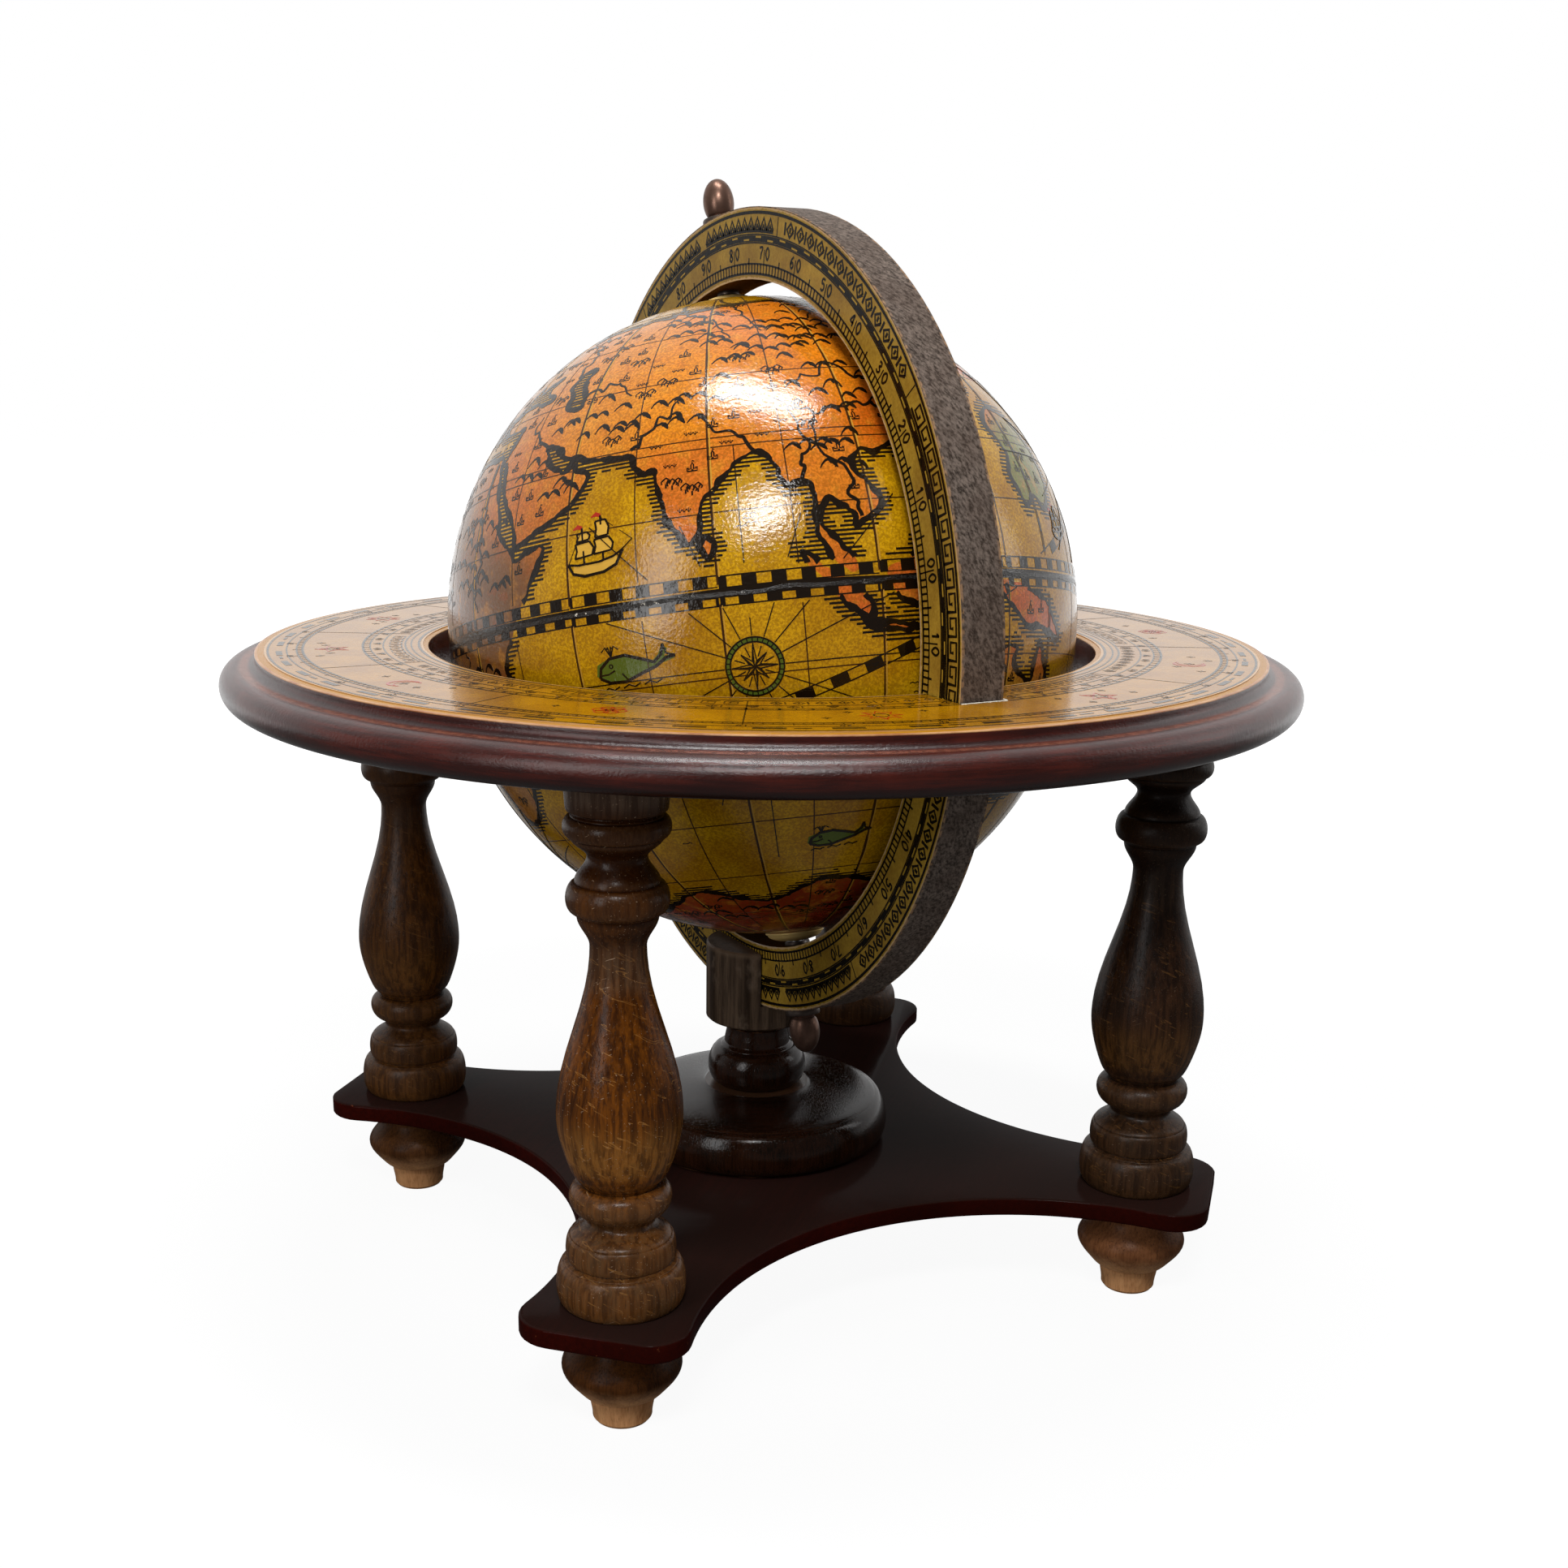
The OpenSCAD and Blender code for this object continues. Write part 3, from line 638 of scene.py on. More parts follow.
def holder_wood():
    """Dark stain, ribbed by the tool, dusty between the ribs and rubbed grey at its edges."""
    paint = Finish("holder_stain", roughness=0.5, coat=0.3, coat_roughness=0.3, coat_ior=1.4)
    fibre = paint.noise(0.9, detail=4, roughness=0.7, stretch=(1, 1, 14))
    ribs = paint.noise(3.2, stretch=(1, 1, 30))
    dust = paint.noise(7, detail=4, roughness=0.65, stretch=(1, 1, 2))
    colour = paint.mix(paint.step(ribs, 0.38, 0.64), (96, 78, 62), (52, 39, 29))
    colour = paint.mix(paint.step(fibre, 0.44, 0.66, 0, 0.5), colour, (34, 25, 18))
    colour = paint.mix(paint.step(dust, 0.52, 0.72, 0, 0.45), colour, (128, 110, 94))
    rubbed = paint.step(paint.parts()[2], HOLDER_TOP - 2.4 * MM, HOLDER_TOP - 0.4 * MM, 0, 0.6)
    colour = paint.mix(rubbed, colour, (112, 92, 74))
    return paint.finished(colour, fibre, (0.42, 0.6), paint.plus(fibre, ribs), 0.14)


def make_pedestal():
    gloss = black_varnish()
    disc = placed(turned(DISC_STEPS, 96), Matrix.Translation(UP * BOARD_TOP))
    add_piece("turned_disc", disc, gloss, "stand", ["pedestal_base"])
    neck = placed(turned(NECK_STEPS, 64), Matrix.Translation(UP * (BOARD_TOP + DISC_H * MM)))
    add_piece("turned_neck", neck, gloss, "stand", ["pedestal_neck"])
    bottom, top, arris = HOLDER_BOTTOM / MM, HOLDER_TOP / MM, 0.6
    holder = spun([(0, bottom), (HOLDER_R - arris, bottom), (HOLDER_R, bottom + arris),
                   (HOLDER_R, top - arris), (HOLDER_R - arris, top), (0, top)], 72)
    slot = bmesh.new()
    bmesh.ops.create_cone(slot, cap_ends=True, segments=192, radius1=SLOT_R, radius2=SLOT_R, depth=SLOT_W)
    placed(slot, Matrix.Translation(GLOBE_AT) @ Matrix.Rotation(math.pi / 2, 4, 'Y'))
    piece = add_piece("slotted_holder", holder, holder_wood(), "stand", ["ring_holder"])
    cut_out(piece, slot)
    shade(piece, 35)


# ---- Horizon ring ----

def ring_wood():
    """Red-brown varnish, rubbed through to copper at step and cove, with painted shade under the nose and in
    the cove.
    """
    paint = Finish("red_mahogany", roughness=0.4, coat=1.0, coat_roughness=0.25, coat_ior=1.5)
    radius = paint.from_axis(paint.place)
    x, y, height = paint.parts()
    around = paint.node("ShaderNodeCombineXYZ")
    turned_by = paint.times(paint.calc('ARCTAN2', y, x), 0.012)
    for socket, part in zip(around.inputs, (turned_by, radius, height)):
        paint.put(socket, part)
    streak = paint.noise(1.2, detail=4, roughness=0.6, vector=around.outputs[0])
    patch = paint.noise(16, detail=4, roughness=0.6)
    colour = paint.mix(paint.step(streak), (74, 22, 12), (46, 11, 7))
    colour = paint.mix(paint.times(paint.step(patch, 0.35, 0.7), 0.5), colour, (34, 10, 7))
    # Painted shade: the underside of the nose is painted near black
    under = paint.step(height, RING_BOTTOM + 4.5 * MM, RING_BOTTOM + 1.5 * MM)
    colour = paint.mix(paint.times(under, 0.75), colour, (20, 5, 4))
    rubbed = paint.step(paint.noise(2.4, detail=4, roughness=0.65), 0.36, 0.6)
    cove = paint.band(radius, *(FACE_R + out * MM for out in (1.4, 2.8, 4.0, 5.6)))
    cove = paint.times(cove, paint.step(height, RING_TOP - 6 * MM, RING_TOP - 4.6 * MM))
    colour = paint.mix(paint.times(cove, paint.step(rubbed, 0, 1, 0.3, 0.65)), colour, (134, 80, 60))
    # Painted shade: a dark band over the hollow of the cove below the face's edge
    dark = paint.band(radius, *(FACE_R + out * MM for out in (0.2, 0.6, 1.0, 2.0)))
    colour = paint.mix(paint.times(dark, 0.8), colour, (34, 12, 10))
    face = paint.times(paint.step(height, RING_TOP - 0.5 * MM, RING_TOP - 0.2 * MM),
                       paint.step(radius, FACE_R + 0.3 * MM, FACE_R - 0.1 * MM))
    bare = paint.mix(paint.step(patch), (198, 150, 100), (150, 92, 50))
    glued = paint.step(radius, FACE_R - 1.0 * MM, FACE_R - 0.8 * MM)
    colour = paint.mix(face, colour, paint.mix(glued, (170, 116, 14), bare))
    edge = paint.times(paint.edges_and_hollows(0.53, 0.58), rubbed)
    colour = paint.mix(paint.times(edge, 0.45), colour, (150, 100, 78))
    relief = paint.plus(paint.times(streak, 0.1), paint.noise(0.8, detail=4, roughness=0.65))
    relief = paint.plus(relief, paint.times(paint.noise(3, detail=2), 0.3))
    return paint.finished(colour, patch, (0.32, 0.46), relief, 0.12)


def notch_cutter(low, high):
    bm = bmesh.new()
    bmesh.ops.create_cube(bm, size=1)
    bmesh.ops.scale(bm, vec=(SLOT_W, 2 * SLOT_R, high - low), verts=bm.verts)
    bmesh.ops.translate(bm, vec=(0, 0, (low + high) / 2), verts=bm.verts)
    return bm


def make_horizon():
    z0, z1, inner, outer, face = (v / MM for v in (RING_BOTTOM, RING_TOP, HORIZON_IN, HORIZON_OUT, FACE_R))
    nose, cove, arris = NOSE_R / MM, 2.6, 0.5
    step = z0 + 2 * nose
    outline = [(inner, z0 + arris), (inner, z1 - arris), (inner + arris * 0.3, z1 - arris * 0.3),
               (inner + arris, z1), (face - arris, z1), (face - arris * 0.3, z1 - arris * 0.3),
               (face, z1 - arris)]
    outline += [(face + cove * (1 - math.cos(a)), step + cove * (1 - math.sin(a)))
                for a in np.linspace(0, math.pi / 2, 9)]
    outline += [(outer - nose + nose * math.cos(a), z0 + nose + nose * math.sin(a))
                for a in np.linspace(math.pi / 2, -math.pi / 2, 25)]
    outline += [(inner + arris, z0)]
    ring = spun(outline, 256, closed=True)
    piece = add_piece("turned_horizon_ring", ring, ring_wood(), "stand", ["horizon_ring"])
    cut_out(piece, notch_cutter(RING_BOTTOM - MM, RING_TOP + MM))
    shade(piece, 32)


# ---- Metal ----

def metal(name, colour, dark, roughness, metallic=1.0):
    """Clear metal under a cloudy patina."""
    paint = Finish(name, roughness=roughness, metallic=metallic)
    cloud = paint.noise(3.5, detail=4, roughness=0.6)
    paint.set("Base Color", paint.mix(paint.times(paint.step(cloud, 0.35, 0.7), 0.4), colour, dark))
    paint.set("Roughness", paint.step(cloud, 0.3, 0.7, roughness * 0.8, roughness * 1.3))
    paint.bump(paint.noise(0.4, detail=2), 0.012, coat_too=False)
    return paint.material


FINIAL_R, WASHER_R, WASHER_T, COLLAR_R, AXLE_HOLE_R = 4.9, 5.6, 2.2, 3.5, 2.0
CAP_R, CAP_H = 9.5, 3.2


def finial_outline(foot):
    steps = ((0, FINIAL_R - 1, 0, 0), (0.8, FINIAL_R - 1.4, 0, 0), (5, FINIAL_R, 0, 0.9), (12.4, 0.2, 0, -1))
    return [(foot + height, *rest) for height, *rest in steps]


def make_pole_fittings():
    bronze = metal("brown_bronze", (112, 86, 74), (52, 36, 30), 0.34, metallic=0.7)
    brass = metal("polished_brass", (246, 214, 140), (204, 164, 92), 0.36, metallic=0.5)
    dark = metal("dark_washer", (92, 82, 76), (50, 42, 38), 0.4, metallic=0.8)
    rim = (MERIDIAN_OUT + PAPER) / MM
    for pole, turn in (("north", 0), ("south", math.pi)):
        way = TO_GLOBE @ Matrix.Rotation(turn, 4, 'X')
        finial = placed(turned(finial_outline(rim + WASHER_T), 48), way)
        add_piece(f"acorn_finial_{pole}", finial, bronze, "meridian",
                  ["finial_top" if pole == "north" else "finial_bottom"])
        cap = placed(brass_dome(), way)
        add_piece(f"brass_dome_{pole}", cap, brass, "globe", [f"pole_cap_{pole}"])
    washers, collars = bmesh.new(), bmesh.new()
    washer = rounded_disc(AXLE_HOLE_R, WASHER_R, rim, rim + WASHER_T, 0.5)
    collar = rounded_disc(AXLE_HOLE_R, COLLAR_R, GLOBE_R / MM + CAP_H + 0.2, MERIDIAN_IN / MM, 0.2)
    for turn in (0, math.pi):
        way = TO_GLOBE @ Matrix.Rotation(turn, 4, 'X')
        add_to(washers, placed(spun(washer, 48, closed=True), way))
        add_to(collars, placed(spun(collar, 40, closed=True), way))
    add_piece("pole_washers", washers, dark, "meridian", ["finial_washers"])
    add_piece("pole_collars", collars, dark, "meridian", ["pole_spacers"])


def rounded_disc(inner, outer, low, high, arris):
    return [(inner, low), (outer - arris, low), (outer - arris * 0.3, low + arris * 0.3),
            (outer, low + arris), (outer, high - arris), (outer - arris * 0.3, high - arris * 0.3),
            (outer - arris, high), (inner, high)]


def brass_dome():
    """A shallow pressed dome with a rolled rim, seated on the paper."""
    seat = GLOBE_R / MM
    rim = [(CAP_R - 0.9, seat * math.cos(math.asin((CAP_R - 0.9) / seat)) + 0.02)]
    rim += [(CAP_R - 0.45 + 0.45 * math.cos(a), rim[0][1] + 0.45 + 0.45 * math.sin(a))
            for a in np.linspace(-math.pi / 2, math.pi / 2, 9)]
    foot = rim[-1][1]
    top = seat + CAP_H
    dome = [((CAP_R - 0.6) * math.cos(a), foot + (top - foot) * math.sin(a))
            for a in np.linspace(0.08, math.pi / 2, 16)]
    return spun([(0, rim[0][1])] + rim + dome, 64)


def add_to(bm, other):
    mesh = bpy.data.meshes.new("part")
    other.to_mesh(mesh)
    other.free()
    bm.from_mesh(mesh)
    bpy.data.meshes.remove(mesh)


# ---- Ink: thin closed bars that lie on a paper ----

INK_RISE = 0.05 * MM
INK_ROOT = 0.06 * MM


class Ink:
    """Collects strokes of one colour, then makes them one mesh."""

    def __init__(self, rise=INK_RISE):
        self.corners, self.faces, self.count, self.rise = [], [], 0, rise

    def stroke(self, points, ups, width, closed=False, rise=None):
        """A bar along the points, flat against the paper; width is in mm, one or one for each point."""
        rise = rise or self.rise
        points, ups = np.asarray(points, float), np.asarray(ups, float)
        if ups.ndim == 1:
            ups = np.broadcast_to(ups, points.shape)
        if closed:
            along = np.roll(points, -1, 0) - np.roll(points, 1, 0)
        else:
            along = np.gradient(points, axis=0)
        across = np.cross(along, ups)
        across /= np.linalg.norm(across, axis=1, keepdims=True) + 1e-12
        across *= (np.broadcast_to(width, len(points)) * MM / 2)[:, None]
        section = np.stack([points + across + ups * rise, points - across + ups * rise,
                            points - across - ups * INK_ROOT, points + across - ups * INK_ROOT], 1)
        n, first = len(points), self.count
        rows = first + 4 * np.arange(n)[:, None] + np.arange(4)
        here = rows if closed else rows[:-1]
        there = np.roll(rows, -1, 0) if closed else rows[1:]
        sides = np.stack([here, np.roll(here, -1, 1), np.roll(there, -1, 1), there], 2).reshape(-1, 4)
        self.faces.append(sides)
        if not closed:
            self.faces.append(np.array([rows[0][::-1], rows[-1]]))
        self.corners.append(section.reshape(-1, 3))
        self.count += 4 * n

    def piece(self, name, material, body, slot, matrix=None):
        corners, faces = np.concatenate(self.corners), np.concatenate(self.faces)
        if matrix is not None:
            matrix = np.array(matrix)
            corners = corners @ matrix[:3, :3].T + matrix[:3, 3]
        mesh = bpy.data.meshes.new(name)
        mesh.from_pydata(corners.tolist(), [], faces.tolist())
        bm = bmesh.new()
        bm.from_mesh(mesh)
        bmesh.ops.recalc_face_normals(bm, faces=bm.faces)
        bm.to_mesh(mesh)
        bm.free()
        return add_mesh(name, mesh, material, body)


def varnish(paint, ripple=1.0, depth=0.08):
    """The lacquer over a print: its fine orange peel breaks up every highlight."""
    long_waves = paint.noise(2.6, roughness=0.6, stretch=(1, 1, 0.45))
    fine = paint.noise(1.1, roughness=0.6)
    paint.bump(paint.plus(paint.times(long_waves, ripple), fine), depth)


def ink_finish(name, colour, coat=1.0, coat_ior=1.5):
    paint = Finish(name, roughness=0.5, coat=coat, coat_roughness=0.11, coat_ior=coat_ior)
    paint.set("Base Color", colour)
    paint.set("Roughness", paint.step(paint.noise(0.8), 0.3, 0.7, 0.4, 0.6))
    varnish(paint)
    return paint.material


# ---- The map ----

GREENWICH = math.radians(153.8)
TROPIC, POLAR_CIRCLE = 23.5, 66.5


def on_globe(places):
    """Longitude and latitude in degrees to points round the globe's own axis."""
    lon, lat = np.radians(np.asarray(places, float)).T
    return GLOBE_R * np.stack([np.cos(lat) * np.cos(lon + GREENWICH), np.cos(lat) * np.sin(lon + GREENWICH),
                              np.sin(lat)], -1)


EURASIA = [(-9, 38), (-9, 43), (-2, 43.5), (-1, 46), (-4.5, 48.4), (1.5, 50.5), (4, 52), (8.5, 54),
           (8.5, 57), (10.5, 57.5), (11, 54.5), (14, 54), (19, 54.5), (21.5, 57.5), (24, 59), (30, 60),
           (24, 60.2), (21.5, 61), (22, 63.5), (25.5, 65.5), (21.5, 65.5), (17.5, 61.5), (18, 59.5),
           (16, 56.5), (12.8, 55.6), (11, 59), (7, 58), (5, 61), (10, 64), (14, 68), (20, 70), (27, 71),
           (32, 70), (40, 67.5), (34, 66.7), (38, 64.2), (44, 68.3), (55, 68.5), (60, 69.5), (67, 69),
           (68, 72.5), (73, 71.5), (76, 72.5), (81, 72.5), (87, 75), (98, 76), (105, 77.5), (113, 74),
           (125, 73.3), (131, 71), (140, 72.5), (152, 71), (161, 69.5), (170, 70), (180, 68.9), (190, 66),
           (180, 64.5), (177, 62.5), (170, 60), (163, 58), (162, 55), (157, 51), (155.5, 56), (162, 61),
           (156, 61.5), (148, 59.5), (141, 58.5), (135.5, 54.7), (141, 52.5), (139, 47.5), (132, 43.2),
           (129.7, 41.5), (127.6, 39.8), (129.4, 36.5), (126.5, 34.5), (126.6, 37.5), (124.8, 39.6),
           (121.5, 39), (121.5, 40.9), (118, 39), (122.4, 37), (119.3, 35), (121.8, 31.5), (121.5, 28.3),
           (118.5, 24.6), (113.8, 22.3), (110.2, 20.7), (108.2, 21.5), (105.8, 19), (109, 14.5),
           (109.2, 11.7), (105, 8.8), (104.8, 10.5), (102.3, 12.2), (100.9, 13.4), (99.3, 9.5),
           (103.3, 4.5), (104, 1.4), (101.3, 2.8), (98.3, 8), (98.7, 13.5), (97.5, 16.7), (94.3, 16),
           (92.3, 20.7), (90.5, 22.3), (87, 21.3), (82.3, 16.6), (80.2, 15), (79.9, 10.4), (77.6, 8.1),
           (75, 12), (72.8, 19), (72.5, 21.3), (70.2, 20.9), (68.8, 22.6), (67, 24.8), (61.5, 25.1),
           (57, 26.5), (54, 26.7), (50.5, 29.5), (48.2, 30), (50, 26.5), (51.5, 25.5), (54, 24.2),
           (56.3, 26.2), (56.8, 24.2), (59.8, 22.5), (57.7, 19), (55, 17), (52, 15.6), (45, 12.8),
           (43.3, 12.8), (42.6, 16.5), (39.2, 21), (36.5, 26), (34.8, 29.5), (32.5, 30), (34.3, 31.3),
           (36, 36.5), (32.5, 36.1), (30.5, 36.5), (27.5, 36.8), (26.3, 39.3), (29, 41), (35, 42),
           (38.2, 41), (41.6, 41.6), (37.5, 44.8), (39, 47.2), (34.8, 46.2), (33.5, 44.6), (31, 46.7),
           (28.5, 43.8), (27.6, 42), (26, 40.8), (23, 40.5), (24, 37.8), (21.7, 36.8), (19.4, 41.8),
           (13.7, 45.5), (12.4, 44.2), (18.3, 40), (16, 38), (12.5, 41.5), (8.8, 44.4), (3.1, 42.3),
           (-0.3, 39.3), (-2, 36.8), (-5.6, 36.1)]
INLAND_SEA = [(47, 43), (49, 46.5), (53, 46.5), (51, 44), (53, 41), (53.5, 37.2), (50, 37.5), (49.3, 40.5)]
AFRICA = [(-6, 35.8), (-9.8, 31), (-13, 27.7), (-17, 21), (-17.3, 14.7), (-13.3, 9), (-7.5, 4.4), (-2, 4.8),
          (4, 6.3), (9, 4), (9.3, -1), (12, -5), (13.7, -11), (12, -17), (14.5, -22.5), (17.5, -31),
          (18.5, -34), (25.5, -34), (31, -29.5), (35.5, -24), (35, -20), (40.5, -15.5), (39.5, -6),
          (43, -0.5), (51, 11.5), (44, 10.6), (42.8, 12), (38.8, 16.5), (37, 21), (33.5, 28), (32.4, 29.9),
          (31.5, 31.3), (25, 31.7), (20, 31), (19, 30.3), (15.5, 32.2), (10.5, 34), (11, 37), (3, 36.9)]
NORTH_AMERICA = [(-168, 65.7), (-166, 60.5), (-158, 57.5), (-165, 54.5), (-152, 59), (-146, 60.8),
                 (-137, 58.5), (-131, 54), (-124, 48.3), (-124.3, 41), (-120.5, 34.5), (-115.5, 30),
                 (-112, 25), (-109.5, 23), (-112.8, 29), (-114.5, 31.6), (-109, 26), (-105.5, 21),
                 (-102, 18), (-94.5, 16.2), (-91, 14), (-86, 11.5), (-83.5, 8.5), (-80, 7.5), (-77.6, 8),
                 (-79.5, 9.5), (-83.5, 11), (-83.3, 15), (-88, 15.8), (-87.5, 21.3), (-90.5, 21),
                 (-91.5, 18.6), (-95.8, 18.8), (-97.7, 23), (-97, 28), (-90, 29.3), (-84, 30),
                 (-82.7, 27.5), (-81, 25.2), (-80.2, 27.5), (-81.3, 31), (-76, 35.2), (-74, 40.5),
                 (-70, 42), (-67, 44.6), (-65.5, 43.6), (-61, 45.8), (-65, 48.8), (-58, 51.5), (-56, 53),
                 (-62, 57.5), (-65, 60), (-71, 61.3), (-78, 62.3), (-77, 58), (-79, 54.5), (-80, 51.5),
                 (-85, 55.2), (-93, 58), (-94.5, 61.5), (-87, 64.2), (-84, 67), (-95, 68), (-108, 68),
                 (-115, 68.5), (-125, 70), (-136, 69.2), (-148, 70.3), (-157, 71.2), (-163, 69)]
SOUTH_AMERICA = [(-77.5, 8.5), (-72, 12), (-62, 10.7), (-52, 4.8), (-50, 0), (-42, -2.8), (-35, -6),
                 (-39, -13), (-39.5, -20), (-45, -23.5), (-48.7, -27), (-54, -34.5), (-57.5, -38),
                 (-62, -39), (-65, -45), (-69, -51), (-68.5, -54.5), (-73, -52), (-75.5, -47), (-73.5, -40),
                 (-71.5, -30), (-70.3, -18.5), (-76.3, -13.5), (-81, -6), (-80, -2), (-77.5, 4)]
SOUTH_CONTINENT = [(114, -22), (113.5, -26), (115.5, -34), (123, -34), (131, -31.6), (138, -35),
                   (141, -38.2), (147, -38), (150, -36.5), (153.3, -28), (149, -21), (145.5, -15),
                   (142.6, -11), (140.5, -17.5), (135.5, -14.8), (136, -12), (130.5, -12), (126, -14)]
ISLANDS = [[(49.3, -12.1), (50.3, -15.8), (47.2, -25), (44, -25), (44.4, -16.2)],
           [(-73, 78), (-55, 71), (-52, 66), (-44, 60), (-38, 65.5), (-24, 69), (-19, 76), (-30, 83),
            (-55, 82)], [(130.5, 32), (131, 34), (136, 36), (139, 39), (140.3, 41.5), (145, 43.5),
                         (142, 45.4), (140, 43), (141.5, 39), (140.5, 35.5), (136, 33.7)],
           [(95.4, 5.6), (100, 2), (103.5, -1), (106, -4), (105, -6), (101, -2.5), (98, 1)],
           [(105.3, -6.2), (110, -6.6), (114.3, -7.8), (110, -8.2), (106.5, -7.3)],
           [(109, 1.5), (113, 3.2), (117, 7), (119, 5), (117.7, 1), (116, -3.8), (111, -3)],
           [(119, -3), (119.8, 1), (125, 1.5), (121, 0.3), (122.5, -4.5), (120, -5.5)],
           [(131, -1), (138, -1.7), (145, -4.5), (150.5, -10.3), (143, -8.7), (138, -8), (133, -4)],
           [(79.8, 8), (80.5, 9.7), (81.8, 7.5), (80.5, 6)],
           [(120.5, 18.3), (122, 18), (122, 14), (125.5, 9), (125.5, 6), (122, 7.5), (121, 13)],
           [(-5.5, 50.2), (1.3, 51.3), (1.5, 52.8), (-1.8, 55.5), (-2.5, 57.5), (-5, 58.6), (-6, 56),
            (-3, 54), (-5, 52.5)], [(-9.8, 52), (-6.2, 52.2), (-6, 54.5), (-9.8, 54.2)],
           [(-22, 64), (-16, 64.3), (-14, 65.5), (-20, 66.2), (-24, 65.5)],
           [(-84.5, 22), (-80.5, 23), (-74.5, 20.2), (-78, 20.6)],
           [(-74, 19.7), (-69, 19.3), (-70.5, 18), (-74, 18.3)],
           [(140, 27), (145, 31), (152, 30), (157, 24), (156, 17), (151, 12), (147, 14), (143, 12),
            (141, 18), (143, 22)], [(173, -35), (178, -38), (175, -41.3), (171, -45), (167, -46.3),
                                    (172, -41), (174.5, -38.5)]]
POLAR_LAND = [(-180, -70), (-150, -66), (-120, -64), (-95, -68), (-70, -60), (-50, -64), (-20, -62),
              (10, -58), (35, -61), (60, -55), (80, -60), (100, -54), (120, -58), (145, -62), (165, -66)]
LANDS = [EURASIA, AFRICA, NORTH_AMERICA, SOUTH_AMERICA, SOUTH_CONTINENT] + ISLANDS


def curve_through(a, b, c, d, t):
    """The stretch from b to c of a smooth curve through all four points."""
    return 0.5 * (2 * b + (c - a) * t + (2 * a - 5 * b + 4 * c - d) * t ** 2
                  + (3 * b - a - 3 * c + d) * t ** 3)


DRAWN_GAP, DRAWN_WANDER = 0.35, 0.55


def hand_drawn(outline, around_pole=False):
    """The outline as a slightly shaking hand would draw it, with points a third of a degree apart."""
    knots = np.array(outline, float)
    far_north = knots[:, 1] > 54
    knots[far_north, 1] = 54 + 0.45 * (knots[far_north, 1] - 54)
    ends = np.array([360.0, 0]) if around_pole else np.zeros(2)
    before, after, later = np.roll(knots, 1, 0), np.roll(knots, -1, 0), np.roll(knots, -2, 0)
    before[0] -= ends
    after[-1] += ends
    later[-2:] += ends
    drawn = []
    for a, b, c, d in zip(before, knots, after, later):
        length = math.hypot((c[0] - b[0]) * cosd(b[1]), c[1] - b[1])
        t = np.arange(0, 1, 1 / max(2, round(length / DRAWN_GAP)))[:, None]
        drawn.append(curve_through(a, b, c, d, t))
    drawn = np.concatenate(drawn)
    for place in drawn:
        at = Vector((place[0] * cosd(place[1]), place[1], 0))
        shake = noise.noise_vector(at * 0.33) * DRAWN_WANDER
        shake += noise.noise_vector(at * 1.1) * DRAWN_WANDER * 0.45
        place += (shake.x / max(0.2, cosd(place[1])), shake.y)
    return drawn


class Coasts:
    """Every coast, with the side on which the land lies."""

    def __init__(self):
        self.places, self.rings, inwards = [], [], []
        for outline in LANDS:
            inwards.append(self.add(hand_drawn(outline), 1))
        inwards.append(self.add(hand_drawn(INLAND_SEA), -1))
        inwards.append(self.add(hand_drawn(POLAR_LAND, around_pole=True), 0))
        self.inward = np.concatenate(inwards)
        self.points = np.concatenate(self.rings)
        self.tree = kdtree.KDTree(len(self.points))
        for i, point in enumerate(self.points):
            self.tree.insert(point, i)
        self.tree.balance()

    def add(self, places, land_inside):
        """Land lies inside the outline (1), outside it (-1), or to its south (0)."""
        points = on_globe(places)
        along = np.roll(points, -1, 0) - np.roll(points, 1, 0)
        left = np.cross(points, along)
        left /= np.linalg.norm(left, axis=1, keepdims=True)
        x, y = places[:, 0] * np.cos(np.radians(places[:, 1])), places[:, 1]
        turns_left = 1 if np.sum(x * np.roll(y, -1) - np.roll(x, -1) * y) > 0 else -1
        self.places.append(places)
        self.rings.append(points)
        return left * (turns_left * land_inside or -1)

    def shore(self, points):
        """Distance from the coast in mm, positive over land."""
        result = np.empty(len(points))
        for i, point in enumerate(points):
            _, nearest, distance = self.tree.find(point)
            sign = 1 if np.dot(point - self.points[nearest], self.inward[nearest]) > 0 else -1
            result[i] = sign * distance
        return result / MM


# Tints of the lands, each round its own middle
TINTS = [((95, 58), (218, 120, 24)), ((60, 52), (214, 132, 34)), ((104, 38), (216, 122, 18)),
         ((76, 34), (222, 134, 18)), ((78, 18), (208, 110, 34)), ((47, 22), (196, 108, 30)),
         ((60, 32), (212, 130, 30)), ((102, 16), (212, 120, 30)), ((118, 28), (196, 88, 18)),
         ((130, 58), (208, 114, 28)), ((20, 48), (190, 132, 58)), ((10, 15), (120, 88, 54)),
         ((38, 4), (112, 78, 46)), ((22, -25), (186, 124, 50)), ((47, -18), (198, 100, 34)),
         ((112, 0), (208, 100, 34)), ((140, -5), (204, 100, 40)), ((133, -25), (196, 142, 44)),
         ((172, -40), (196, 92, 44)), ((138, 36), (200, 98, 30)), ((148, 20), (110, 122, 44)),
         ((-100, 50), (106, 118, 46)), ((-100, 22), (194, 106, 48)), ((-60, 0), (196, 98, 62)),
         ((-62, -35), (186, 112, 42)), ((-42, 64), (184, 172, 98)), ((-20, 62), (196, 102, 52)),
         ((0, -75), (150, 36, 16)), ((120, -75), (140, 32, 14)), ((-120, -75), (152, 42, 18))]


def land_tints(points):
    middles = on_globe([place for place, _ in TINTS])
    colours = np.array([srgb(*colour)[:3] for _, colour in TINTS])
    away = np.linalg.norm(points[:, None] - middles[None], axis=2) / MM
    weight = 1 / (away + 4) ** 5
    return (weight @ colours) / weight.sum(1, keepdims=True)


